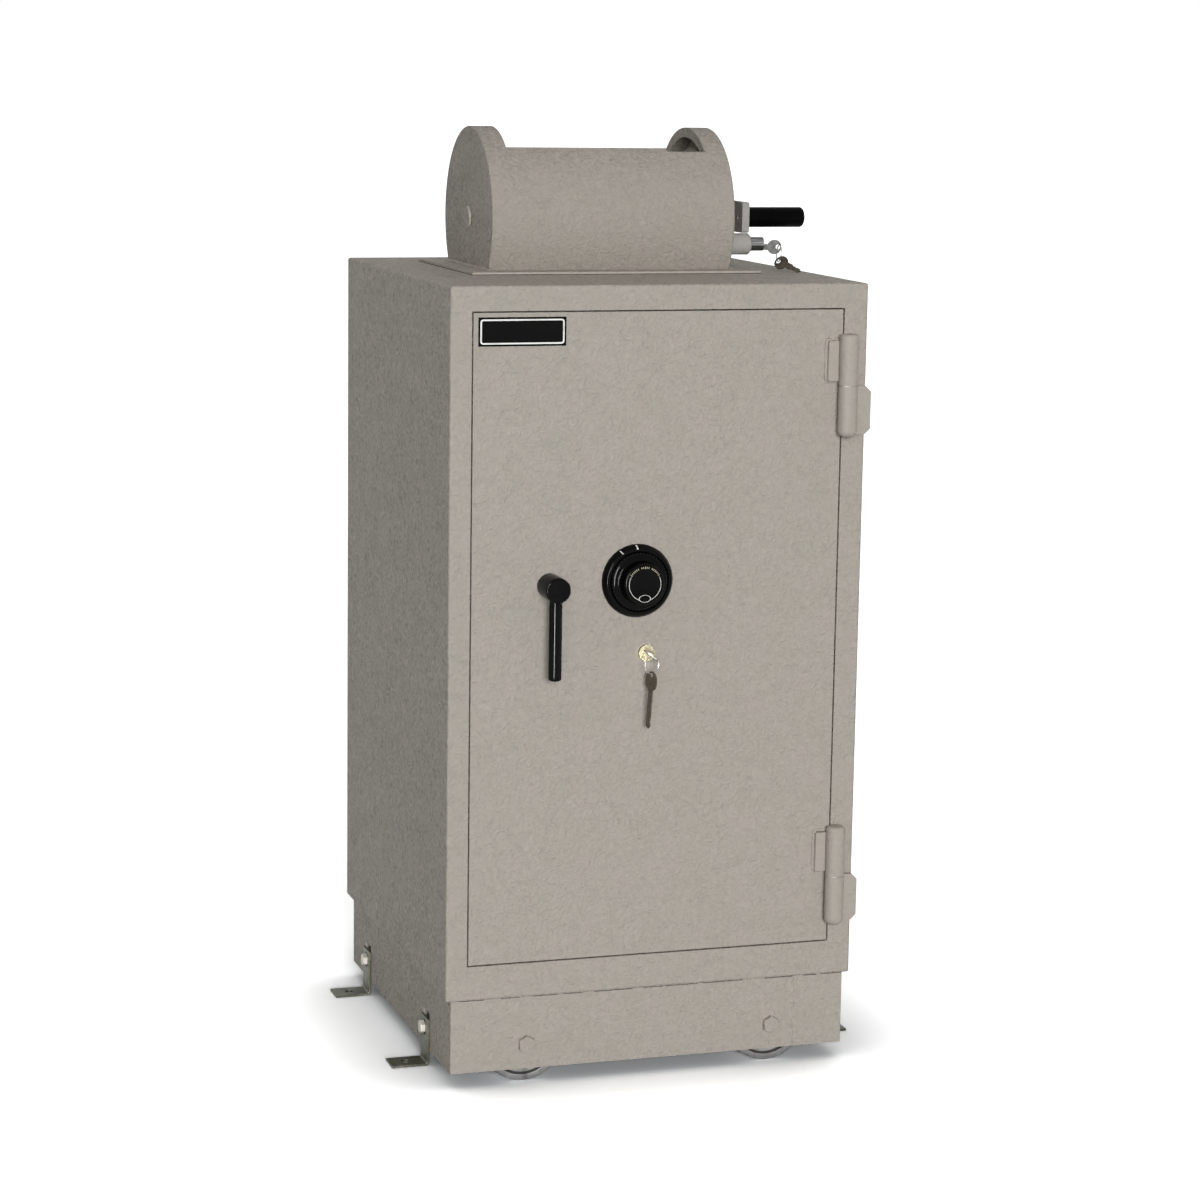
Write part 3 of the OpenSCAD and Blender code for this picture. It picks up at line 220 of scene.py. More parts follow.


# hammered enamel: low cells with soft valleys, painted darker as painted shade in the hollows, over a slow drift
# between two tones
def makeHammerGroup():
    group, given, out = startGroup(
        "hammeredEnamelPattern",
        [("Vector", "NodeSocketVector", None), ("Tone A", "NodeSocketColor", (0.4, 0.37, 0.32, 1)),
         ("Tone B", "NodeSocketColor", (0.38, 0.36, 0.3, 1)), ("Cell Scale", "NodeSocketFloat", 120.0),
         ("Valley Shade", "NodeSocketFloat", 0.12), ("Roughness", "NodeSocketFloat", 0.45)],
        [("Color", "NodeSocketColor"), ("Roughness", "NodeSocketFloat"), ("Height", "NodeSocketFloat")])
    bend = put(group, "ShaderNodeTexNoise", values={"Scale": 70.0, "Detail": 2.0}, feeds={"Vector": given["Vector"]})
    centred = put(group, "ShaderNodeVectorMath", {"operation": "SUBTRACT"}, {1: (0.5, 0.5, 0.5)},
                  {0: bend.outputs["Color"]})
    shifted = put(group, "ShaderNodeVectorMath", {"operation": "ADD"},
                  feeds={0: given["Vector"], 1: scaled(group, centred.outputs[0], 0.016)})
    veins = put(group, "ShaderNodeTexNoise", values={"Detail": 2.5, "Roughness": 0.5},
                feeds={"Vector": shifted.outputs[0], "Scale": given["Cell Scale"]})
    folded = put(group, "ShaderNodeMath", {"operation": "SUBTRACT"}, {1: 0.5}, {0: veins.outputs["Fac"]})
    ridge = put(group, "ShaderNodeMath", {"operation": "ABSOLUTE"}, feeds={0: folded.outputs[0]})
    valley = put(group, "ShaderNodeMapRange", {"interpolation_type": "SMOOTHSTEP"},
                 {"From Min": 0.0, "From Max": 0.075, "To Min": 1.0, "To Max": 0.0}, {"Value": ridge.outputs[0]})
    patch = put(group, "ShaderNodeTexNoise", values={"Scale": 85.0, "Detail": 1.0},
                feeds={"Vector": given["Vector"]})
    broken = put(group, "ShaderNodeMapRange", values={"From Min": 0.40, "From Max": 0.66},
                 feeds={"Value": patch.outputs["Fac"]})
    depth = put(group, "ShaderNodeMath", {"operation": "MULTIPLY"},
                feeds={0: valley.outputs[0], 1: broken.outputs[0]})
    swell = put(group, "ShaderNodeTexNoise", values={"Scale": 205.0, "Detail": 3.0, "Roughness": 0.6},
                feeds={"Vector": shifted.outputs[0]})
    sunk = put(group, "ShaderNodeMath", {"operation": "MULTIPLY"}, {1: 0.12}, {0: depth.outputs[0]})
    height = put(group, "ShaderNodeMath", {"operation": "SUBTRACT"},
                 feeds={0: swell.outputs["Fac"], 1: sunk.outputs[0]})
    group.links.new(height.outputs[0], out["Height"])
    drift = put(group, "ShaderNodeTexNoise", values={"Scale": 26.0, "Detail": 2.0, "Roughness": 0.6},
                feeds={"Vector": given["Vector"]})
    spread = put(group, "ShaderNodeMapRange", values={"From Min": 0.30, "From Max": 0.70},
                 feeds={"Value": drift.outputs["Fac"]})
    tone = put(group, "ShaderNodeMix", {"data_type": "RGBA"},
               feeds={"Factor": spread.outputs[0], 6: given["Tone A"], 7: given["Tone B"]})
    # the valleys' colour is darkened: painted shade in the relief's hollows
    shade = put(group, "ShaderNodeMath", {"operation": "MULTIPLY"},
                feeds={0: depth.outputs[0], 1: given["Valley Shade"]})
    darker = put(group, "ShaderNodeMix", {"data_type": "RGBA", "blend_type": "MULTIPLY"},
                 {7: (0.0, 0.0, 0.0, 1)}, {"Factor": shade.outputs[0], 6: tone.outputs[2]})
    group.links.new(darker.outputs[2], out["Color"])
    rough = put(group, "ShaderNodeMath", {"operation": "MULTIPLY_ADD"}, {1: 0.12},
                {0: spread.outputs[0], 2: given["Roughness"]})
    group.links.new(rough.outputs[0], out["Roughness"])
    return group


# worked metal: grain drawn out along one way, a slow stain, and fine scratches
def makeMetalGroup():
    group, given, out = startGroup(
        "workedMetalPattern",
        [("Vector", "NodeSocketVector", None), ("Light", "NodeSocketColor", (0.6, 0.6, 0.6, 1)),
         ("Dark", "NodeSocketColor", (0.3, 0.3, 0.3, 1)), ("Grain Scale", "NodeSocketFloat", 900.0),
         ("Stain Scale", "NodeSocketFloat", 60.0), ("Roughness", "NodeSocketFloat", 0.3)],
        [("Color", "NodeSocketColor"), ("Roughness", "NodeSocketFloat"), ("Height", "NodeSocketFloat")])
    grain = put(group, "ShaderNodeTexNoise", values={"Detail": 3.0, "Roughness": 0.7},
                feeds={"Vector": given["Vector"], "Scale": given["Grain Scale"]})
    stain = put(group, "ShaderNodeTexNoise", values={"Detail": 4.0, "Roughness": 0.65, "Distortion": 0.8},
                feeds={"Vector": given["Vector"], "Scale": given["Stain Scale"]})
    both = put(group, "ShaderNodeMath", {"operation": "MULTIPLY_ADD"}, {1: 0.35},
               {0: grain.outputs["Fac"], 2: stain.outputs["Fac"]})
    spread = put(group, "ShaderNodeMapRange", values={"From Min": 0.45, "From Max": 0.9},
                 feeds={"Value": both.outputs[0]})
    tone = put(group, "ShaderNodeMix", {"data_type": "RGBA"},
               feeds={"Factor": spread.outputs[0], 6: given["Light"], 7: given["Dark"]})
    group.links.new(tone.outputs[2], out["Color"])
    rough = put(group, "ShaderNodeMath", {"operation": "MULTIPLY_ADD"}, {1: 0.22},
                {0: both.outputs[0], 2: given["Roughness"]})
    group.links.new(rough.outputs[0], out["Roughness"])
    group.links.new(grain.outputs["Fac"], out["Height"])
    return group


# dust and small flecks, as a mask
def makeDustGroup():
    group, given, out = startGroup(
        "dustFlecks",
        [("Vector", "NodeSocketVector", None), ("Scale", "NodeSocketFloat", 260.0),
         ("Amount", "NodeSocketFloat", 0.5)],
        [("Mask", "NodeSocketFloat")])
    fine = put(group, "ShaderNodeTexNoise", values={"Detail": 4.0, "Roughness": 0.75},
               feeds={"Vector": given["Vector"], "Scale": given["Scale"]})
    cloud = put(group, "ShaderNodeTexNoise", values={"Scale": 22.0, "Detail": 2.0},
                feeds={"Vector": given["Vector"]})
    both = put(group, "ShaderNodeMath", {"operation": "MULTIPLY"},
               feeds={0: fine.outputs["Fac"], 1: cloud.outputs["Fac"]})
    keep = put(group, "ShaderNodeMapRange", {"interpolation_type": "SMOOTHSTEP"},
               {"From Min": 0.22, "From Max": 0.42}, {"Value": both.outputs[0]})
    mask = put(group, "ShaderNodeMath", {"operation": "MULTIPLY"},
               feeds={0: keep.outputs[0], 1: given["Amount"]})
    group.links.new(mask.outputs[0], out["Mask"])
    return group


hammerGroup = makeHammerGroup()
metalGroup = makeMetalGroup()
dustGroup = makeDustGroup()
print("shader groups made")


# Finishes

# a material with its Principled shader and an object-space vector that can be stretched
def startFinish(name, stretch=(1, 1, 1), **shaderValues):
    material = bpy.data.materials.new(name)
    material.use_nodes = True
    tree = material.node_tree
    tree.nodes.clear()
    shader = put(tree, "ShaderNodeBsdfPrincipled", values=shaderValues)
    put(tree, "ShaderNodeOutputMaterial", feeds={"Surface": shader.outputs[0]})
    place = put(tree, "ShaderNodeTexCoord")
    mapping = put(tree, "ShaderNodeMapping", {"vector_type": "TEXTURE"}, {"Scale": [1 / s for s in stretch]},
                  {"Vector": place.outputs["Object"]})
    return material, tree, shader, mapping.outputs[0]


# a shared group in a material; an underscore in a value's name stands for a space
def useGroup(tree, group, vector, **values):
    node = put(tree, "ShaderNodeGroup", {"node_tree": group})
    for key, value in values.items():
        node.inputs[key.replace("_", " ")].default_value = value
    tree.links.new(vector, node.inputs["Vector"])
    return node


def raiseBump(tree, shader, height, distance):
    bump = put(tree, "ShaderNodeBump", values={"Strength": 1.0, "Distance": distance}, feeds={"Height": height})
    tree.links.new(bump.outputs[0], shader.inputs["Normal"])


def enamelFinish(name, toneA, toneB, roughness=0.55, cells=75.0, depth=0.0024, valley=0.03, reliefShadeFront=0.32,
                 reliefShadeFlat=1.8):
    material, tree, shader, vector = startFinish(name, **{"Specular IOR Level": 0.1})
    look = useGroup(tree, hammerGroup, vector, Tone_A=(*toneA, 1), Tone_B=(*toneB, 1), Cell_Scale=cells,
                    Valley_Shade=valley, Roughness=roughness)
    # the colour is painted lighter on the relief's crests and darker in its hollows, a painted shade of the hammered
    # relief that grows the flatter the surface is looked at
    facing = put(tree, "ShaderNodeLayerWeight", values={"Blend": 0.5})
    contrast = put(tree, "ShaderNodeMapRange",
                   values={"From Min": 0.1, "From Max": 0.75, "To Min": reliefShadeFront, "To Max": reliefShadeFlat},
                   feeds={"Value": facing.outputs["Facing"]})
    centred = put(tree, "ShaderNodeMath", {"operation": "SUBTRACT"}, {1: 0.47}, {0: look.outputs["Height"]})
    gain = put(tree, "ShaderNodeMath", {"operation": "MULTIPLY_ADD"}, {2: 1.0},
               {0: centred.outputs[0], 1: contrast.outputs[0]})
    colour = put(tree, "ShaderNodeVectorMath", {"operation": "SCALE"},
                 feeds={0: look.outputs["Color"], "Scale": gain.outputs[0]})
    tree.links.new(colour.outputs[0], shader.inputs["Base Color"])
    tree.links.new(look.outputs["Roughness"], shader.inputs["Roughness"])
    raiseBump(tree, shader, look.outputs["Height"], depth)
    return material


def metalFinish(name, light, dark, roughness, grain=900.0, stain=60.0, stretch=(1, 1, 1), metallic=1.0,
                depth=0.00002, dust=0.0, rimShade=0.0):
    material, tree, shader, vector = startFinish(name, stretch, Metallic=metallic)
    look = useGroup(tree, metalGroup, vector, Light=(*light, 1), Dark=(*dark, 1), Grain_Scale=grain,
                    Stain_Scale=stain, Roughness=roughness)
    colour = look.outputs["Color"]
    if dust:
        flecks = useGroup(tree, dustGroup, vector, Scale=240.0, Amount=dust)
        colour = put(tree, "ShaderNodeMix", {"data_type": "RGBA"}, {7: (0.42, 0.4, 0.37, 1)},
                     {"Factor": flecks.outputs["Mask"], 6: colour}).outputs[2]
    if rimShade:  # polished pieces are painted darker where they turn away, a painted dark reflection at their rims
        facing = put(tree, "ShaderNodeLayerWeight", values={"Blend": 0.5})
        away = put(tree, "ShaderNodeMapRange", {"interpolation_type": "SMOOTHSTEP"},
                   {"From Min": 0.35, "From Max": 0.85, "To Max": rimShade}, {"Value": facing.outputs["Facing"]})
        colour = put(tree, "ShaderNodeMix", {"data_type": "RGBA"}, {7: (0.02, 0.018, 0.015, 1)},
                     {"Factor": away.outputs[0], 6: colour}).outputs[2]
    tree.links.new(colour, shader.inputs["Base Color"])
    tree.links.new(look.outputs["Roughness"], shader.inputs["Roughness"])
    raiseBump(tree, shader, look.outputs["Height"], depth)
    return material


def blackFinish(name, tone, dusty, roughness, dustAmount, specular, swellScale, depth):
    material, tree, shader, vector = startFinish(name, **{"Specular IOR Level": specular})
    flecks = useGroup(tree, dustGroup, vector, Scale=300.0, Amount=dustAmount)
    colour = put(tree, "ShaderNodeMix", {"data_type": "RGBA"}, {6: (*tone, 1), 7: (*dusty, 1)},
                 {"Factor": flecks.outputs["Mask"]})
    tree.links.new(colour.outputs[2], shader.inputs["Base Color"])
    rough = put(tree, "ShaderNodeMath", {"operation": "MULTIPLY_ADD"}, {1: 0.35, 2: roughness},
                {0: flecks.outputs["Mask"]})
    tree.links.new(rough.outputs[0], shader.inputs["Roughness"])
    swell = put(tree, "ShaderNodeTexNoise", values={"Scale": swellScale, "Detail": 2.0}, feeds={"Vector": vector})
    raiseBump(tree, shader, swell.outputs["Fac"], depth)
    return material


def concreteFinish():
    material, tree, shader, vector = startFinish("lightConcrete", Roughness=0.9)
    grit = put(tree, "ShaderNodeTexNoise", values={"Scale": 180.0, "Detail": 5.0, "Roughness": 0.7},
               feeds={"Vector": vector})
    colour = put(tree, "ShaderNodeMix", {"data_type": "RGBA"},
                 {6: (0.33, 0.32, 0.29, 1), 7: (0.48, 0.46, 0.42, 1)}, {"Factor": grit.outputs["Fac"]})
    tree.links.new(colour.outputs[2], shader.inputs["Base Color"])
    raiseBump(tree, shader, grit.outputs["Fac"], 0.001)
    return material


finishes = {
    "painted_body": enamelFinish("hammeredEnamel", (0.405, 0.366, 0.330), (0.386, 0.359, 0.316)),
    "painted_inside": enamelFinish("insideEnamel", (0.36, 0.335, 0.295), (0.335, 0.318, 0.272),
                                   roughness=0.58, cells=110.0, depth=0.0008, valley=0.01),
    "arm_steel": enamelFinish("armEnamel", (0.35, 0.338, 0.318), (0.31, 0.30, 0.28),
                              roughness=0.5, cells=150.0, depth=0.0007, valley=0.01),
    "concrete": concreteFinish(),
    "bright_steel": metalFinish("machinedSteel", (0.62, 0.61, 0.59), (0.42, 0.41, 0.39), roughness=0.22,
                                stretch=(12, 12, 1), grain=240.0),
    "bracket_zinc": metalFinish("bracketPlating", (0.085, 0.086, 0.052), (0.026, 0.028, 0.017), roughness=0.3,
                                metallic=0.5, grain=420.0, stain=45.0, dust=0.3),
    "bolt_zinc": metalFinish("boltPlating", (0.56, 0.53, 0.48), (0.36, 0.34, 0.3), roughness=0.4,
                             metallic=0.5, grain=500.0, stain=90.0, dust=0.3),
    "wheel_steel": metalFinish("wheelSteel", (0.34, 0.335, 0.335), (0.11, 0.105, 0.105), roughness=0.18,
                               metallic=0.8, grain=700.0, stain=38.0, dust=0.25),
    "bush_bronze": metalFinish("bushBronze", (0.5, 0.34, 0.14), (0.26, 0.17, 0.07), roughness=0.3),
    "lock_brass": metalFinish("lockBrass", (0.58, 0.54, 0.38), (0.16, 0.13, 0.07), roughness=0.18,
                              grain=1400.0, stain=190.0, depth=0.0004, rimShade=0.6),
    "black_enamel": blackFinish("glossBlack", (0.0022, 0.0022, 0.0022), (0.011, 0.011, 0.010), roughness=0.10,
                                dustAmount=0.25, specular=0.06, swellScale=90.0, depth=0.00003),
    "black_grip": blackFinish("gripBlack", (0.0012, 0.0012, 0.0012), (0.005, 0.005, 0.0045), roughness=0.35,
                              dustAmount=0.3, specular=0.02, swellScale=900.0, depth=0.00006),
    # the plunger's light and dark streaks along its axis are painted reflections
    "plunger_black": metalFinish("plungerReflectionBands", (0.42, 0.42, 0.42), (0.008, 0.008, 0.008), roughness=0.16,
                                 grain=520.0, stain=330.0, stretch=(0.03, 1, 1)),
    "key_steel": metalFinish("keyNickel", (0.68, 0.66, 0.62), (0.36, 0.35, 0.32), roughness=0.16,
                             grain=1500.0, stain=210.0, rimShade=0.85),
    "spare_key_steel": metalFinish("oldKeySteel", (0.13, 0.11, 0.085), (0.05, 0.042, 0.032), roughness=0.28,
                                   grain=1500.0, stain=190.0, metallic=0.85, rimShade=0.5),
}
finishes["stud_steel"] = finishes["black_enamel"]

# pieces that share a slot and still look different in the photo
washerFinish = metalFinish("washerDull", (0.34, 0.32, 0.29), (0.24, 0.22, 0.20), roughness=0.5, metallic=0.2)
hopperKeyFinish = metalFinish("hopperKeyNickel", (0.26, 0.26, 0.25), (0.10, 0.10, 0.095), roughness=0.2,
                              grain=1500.0, stain=260.0, rimShade=0.3)
ringFinish = metalFinish("ringWire", (0.62, 0.62, 0.60), (0.06, 0.055, 0.05), roughness=0.2, grain=700.0,
                         stain=160.0, rimShade=0.85)
# the hopper wears a darker copy of the body's enamel: painted shade for the weaker light on it
hopperShadedFinish = enamelFinish("hopperShadedEnamel", (0.352, 0.318, 0.287), (0.336, 0.312, 0.275))
hingeFinish = enamelFinish("hingeEnamel", (0.400, 0.362, 0.326), (0.384, 0.356, 0.313), depth=0.0007, reliefShadeFront=0.2,
                           reliefShadeFlat=0.5)
ownFinishes = {"hinge_door_leaves": hingeFinish, "hinge_frame_leaves": hingeFinish, "hopper_shell": hopperShadedFinish,
               "hopper_end_left": hopperShadedFinish, "hopper_end_right": hopperShadedFinish, "hinge_washers": washerFinish,
               "hopper_key": hopperKeyFinish, "lock_boss": finishes["arm_steel"], "door_key_ring": ringFinish,
               "hopper_key_ring": ringFinish}


# the flat paint of lettering, lines, gaps and painted shade lines, worn in flecks
def markFinish(name, tone, worn):
    material, tree, shader, vector = startFinish(name, Roughness=0.5)
    flecks = useGroup(tree, dustGroup, vector, Scale=900.0, Amount=0.6)
    colour = put(tree, "ShaderNodeMix", {"data_type": "RGBA"}, {6: (*tone, 1), 7: (*worn, 1)},
                 {"Factor": flecks.outputs["Mask"]})
    tree.links.new(colour.outputs[2], shader.inputs["Base Color"])
    return material


markWhite = markFinish("markWhite", (0.82, 0.82, 0.8), (0.45, 0.44, 0.42))
markCream = markFinish("markCream", (0.50, 0.47, 0.33), (0.22, 0.2, 0.15))
markGrey = markFinish("markGrey", (0.035, 0.035, 0.034), (0.012, 0.012, 0.012))
gapAndShadeDark = markFinish("gapAndShadeDark", (0.035, 0.03, 0.026), (0.12, 0.105, 0.09))

for name, node in nodes.items():
    node["slotName"] = node.material_slots[0].material.name.split(".")[0]
    node.material_slots[0].material = ownFinishes.get(name, finishes[node["slotName"]])
print("finishes set on", len(nodes), "nodes")


# Mesh helpers

meshValues = {
    "mergeDistance": 0.000004,
    "flatAngle": 0.15,  # faces of a CAD mesh that meet at less count as one
    "bevelFrom": 40.0,  # edges sharper than this are rounded
    "bevelSegments": 2,
}


def mergeDoubles(bm):
    bmesh.ops.remove_doubles(bm, verts=bm.verts, dist=meshValues["mergeDistance"])


# the bmesh becomes a piece at the origin that rides on a body, with smooth shading between sharp edges;
# it wears its slot's finish unless another is given
def finishPiece(bm, name, body, slotName=None, finish=None, sharp=32.0, roundEdges=0.0, normals=True):
    mergeDoubles(bm)
    if normals:
        bmesh.ops.recalc_face_normals(bm, faces=bm.faces)
    mesh = bpy.data.meshes.new(name)
    bm.to_mesh(mesh)
    bm.free()
    for face in mesh.polygons:
        face.use_smooth = True
    mesh.set_sharp_from_angle(angle=math.radians(sharp))
    mesh.materials.append(finish or finishes[slotName])
    piece = bpy.data.objects.new(name, mesh)
    scene.collection.objects.link(piece)
    if roundEdges:
        soft = piece.modifiers.new("roundedEdges", "BEVEL")
        soft.width = roundEdges
        soft.segments = meshValues["bevelSegments"]
        soft.limit_method = "ANGLE"
        soft.angle_limit = math.radians(meshValues["bevelFrom"])
        soft.harden_normals = True
    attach(piece, body)
    return piece


# a CAD node's mesh with its corners merged and its flat faces whole
def cadCopy(nodeName):
    bm = bmesh.new()
    bm.from_mesh(nodes[nodeName].data)
    mergeDoubles(bm)
    bmesh.ops.dissolve_limit(bm, angle_limit=math.radians(meshValues["flatAngle"]), verts=bm.verts, edges=bm.edges)
    return bm


# a profile of (radius, height) pairs turned round Z
def turnedMesh(profile, steps, closed=False):
    bm = bmesh.new()
    rail = [bm.verts.new((r, 0.0, h)) for r, h in profile]
    pairs = list(zip(rail, rail[1:]))
    if closed:
        pairs.append((rail[-1], rail[0]))
    edges = [bm.edges.new(pair) for pair in pairs]
    bmesh.ops.spin(bm, geom=rail + edges, cent=(0, 0, 0), axis=(0, 0, 1), angle=math.tau, steps=steps,
                   use_merge=True)
    mergeDoubles(bm)
    return bm


# points on the curve that rounds a profile's corner off from start to end
def roundedCorner(start, corner, end, steps=4):
    found = []
    for i in range(steps + 1):
        t = i / steps
        a = Vector(start).lerp(Vector(corner), t)
        b = Vector(corner).lerp(Vector(end), t)
        found.append(tuple(a.lerp(b, t)))
    return found


# the angle and the axis that turn +Z towards a side of the object
sideTurns = {"front": (90, "X"), "back": (-90, "X"), "down": (180, "X"), "right": (90, "Y"), "left": (-90, "Y")}


# a mesh with its +Z turned towards a side and its origin put in place
def aimed(bm, origin, towards):
    angle, axis = sideTurns[towards]
    turn = Matrix.Rotation(math.radians(angle), 4, axis)
    bmesh.ops.transform(bm, matrix=Matrix.Translation(origin) @ turn, verts=bm.verts)
    return bm


def moved(bm, vec):
    bmesh.ops.translate(bm, vec=vec, verts=bm.verts)
    return bm


# a mesh turned round Z by an angle in radians
def rotated(bm, angle):
    bmesh.ops.rotate(bm, cent=(0, 0, 0), matrix=Matrix.Rotation(angle, 3, "Z"), verts=bm.verts)
    return bm


# several bmeshes in one
def joined(parts):
    whole = bmesh.new()
    for part in parts:
        mesh = bpy.data.meshes.new("part")
        part.to_mesh(mesh)
        part.free()
        whole.from_mesh(mesh)
        bpy.data.meshes.remove(mesh)
    return whole


# a flat sheet in the XY plane with rounded corners
def roundedSheet(width, height, corner):
    bm = bmesh.new()
    bmesh.ops.create_grid(bm, x_segments=1, y_segments=1, size=0.5)
    bmesh.ops.scale(bm, vec=(width, height, 1), verts=bm.verts)
    bmesh.ops.bevel(bm, geom=bm.verts[:], offset=corner, segments=6, profile=0.5, affect="VERTICES", material=-1)
    return bm


# a sheet grown upwards
def thickened(bm, thickness):
    grown = bmesh.ops.extrude_face_region(bm, geom=bm.faces[:])
    top = [part for part in grown["geom"] if isinstance(part, bmesh.types.BMVert)]
    bmesh.ops.translate(bm, vec=(0, 0, thickness), verts=top)
    return bm


# a block in the XY plane, from z = 0 up
def bar(width, height, thickness):
    bm = bmesh.new()
    bmesh.ops.create_cube(bm, size=1.0)
    bmesh.ops.scale(bm, vec=(width, height, thickness), verts=bm.verts)
    return moved(bm, (0, 0, thickness / 2))


# a hexagon head along Z with a crown chamfer: a turned blank cut by its six flats
def hexHead(flats, thickness, crown):
    corner = flats / math.sqrt(3)
    flat = flats / 2
    blank = corner * 1.02
    top = flat * 0.97  # the chamfer starts here and falls at 30 degrees
    drop = (corner - top) * math.tan(math.radians(30))
    bm = turnedMesh([(0, 0), (blank, 0), (blank, thickness - drop - thickness * crown * 0.2), (top, thickness),
                     (0, thickness)], steps=72)
    for i in range(6):
        a = math.radians(60 * i)
        way = Vector((math.cos(a), math.sin(a), 0))
        bmesh.ops.bisect_plane(bm, geom=bm.verts[:] + bm.edges[:] + bm.faces[:], dist=0.0000005, plane_co=way * flat,
                               plane_no=way, clear_outer=True)
        bmesh.ops.contextual_create(bm, geom=[e for e in bm.edges if e.is_boundary])
    return bm


# a bolt's shank below its head, with a chamfered end
def shank(radius, length, chamfer, overlap, steps):
    return turnedMesh([(0, -length), (radius - chamfer, -length), (radius, -length + chamfer), (radius, overlap),
                       (0, overlap)], steps=steps)


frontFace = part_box("door_plate")[0].y  # the door plate's outer face


# Combination dial

dialLow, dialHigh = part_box("dial_ring")
dialValues = {
    "centre": ((dialLow.x + dialHigh.x) / 2, frontFace, (dialLow.z + dialHigh.z) / 2),
    "ringRadius": 0.051,
    "ringLip": 0.012,
    "plateRadius": 0.041,
    "knobFront": 0.036,
    "ribs": 40,
    "ribDepth": 0.0005,
    "inkHeight": 0.00016,  # the lines and strokes stand out by this
    "inkDepth": 0.0001,  # the lines reach into the cap by this
    "capLine": (0.0225, 0.0231),  # inside and outside radius
    "capLineSpan": (62, 158),  # degrees from the top, on both sides
    "oval": (0.0077, 0.0085),
    "ovalSquash": 0.6,
    "ovalDown": 0.0197,
    "strokes": 19,
    "strokesLeftOut": (6, 12),
    "strokeSpan": 114,  # degrees
    "strokeWidth": 0.0009,
    "strokeLengths": (0.0030, 0.0024),  # of every third one, and of the others
    "strokeRadius": 0.0233,
    "strokeSink": 0.00002,
    "graduations": 50,
    "graduationWidth": 0.00045,
    "graduationLengths": (0.0026, 0.0017),  # of every fifth one, and of the others
    "graduationSeat": (0.0396, 0.0139),  # distance from the dial's axis, and height
    "graduationTilt": -56,
    "graduationInk": 0.00012,
    "indexMarks": ((4.3, 0.0452, 0.0503, 0.0020), (32, 0.0462, 0.0502, 0.0016)),  # degrees, inner, outer, width
    "indexInk": 0.0003,
}


def buildDialRing():
    v = dialValues
    r, lip = v["ringRadius"], v["ringLip"]
    inner = v["plateRadius"] + 0.0009
    ring = turnedMesh(
        [(0.008, 0.0), (r, 0.0), (r, 0.0026)]
        + roundedCorner((r, 0.0026), (r, 0.0040), (r - 0.0007, 0.0050))
        + roundedCorner((0.0474, lip - 0.0014), (0.0466, lip), (0.0454, lip))
        + [(inner + 0.0008, lip), (inner, lip - 0.0006), (inner, 0.0030), (0.008, 0.0030)],
        steps=128, closed=True)
    piece = finishPiece(aimed(ring, v["centre"], "front"), "dialRing", "door", "black_enamel")
    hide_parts("dial_ring")


def buildDialKnob():
    v = dialValues
    front, p = v["knobFront"], v["plateRadius"]
    knob = turnedMesh(
        [(0, front - 0.0003), (0.0214, front - 0.0003), (0.0219, front)]
        + roundedCorner((0.0252, front), (0.0285, front), (0.0289, front - 0.0034), 6)
        + [(0.0291, front - 0.0052), (0.0299, 0.0206), (0.0302, 0.0194)]
        + roundedCorner((0.0304, 0.0186), (0.0308, 0.0167), (0.0334, 0.0163), 5)
        + roundedCorner((0.0350, 0.0161), (0.0392, 0.0155), (0.0403, 0.0124), 7)
        + roundedCorner((0.0404, 0.0117), (p, 0.0106), (p, 0.0095))
        + [(p, 0.0045), (0, 0.0045)],
        steps=240)
    for vert in knob.verts:
        away = math.hypot(vert.co.x, vert.co.y)
        if 0.0290 < away < 0.0303 and 0.0190 < vert.co.z < front - 0.0050:  # the grip's ribbed band
            turn = math.atan2(vert.co.y, vert.co.x)
            factor = 1 - v["ribDepth"] * (0.5 - 0.5 * math.cos(turn * v["ribs"])) / away
            vert.co.x *= factor
            vert.co.y *= factor
    piece = finishPiece(aimed(knob, v["centre"], "front"), "dialKnob", "dial", "black_enamel", sharp=45)
    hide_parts("dial_knob")


# a flat ring of paint between two radii, sunk a little into the surface it lies on
def inkRing(span, steps):
    low, high = -dialValues["inkDepth"], dialValues["inkHeight"]
    return turnedMesh([(span[0], low), (span[1], low), (span[1], high), (span[0], high)], steps, closed=True)


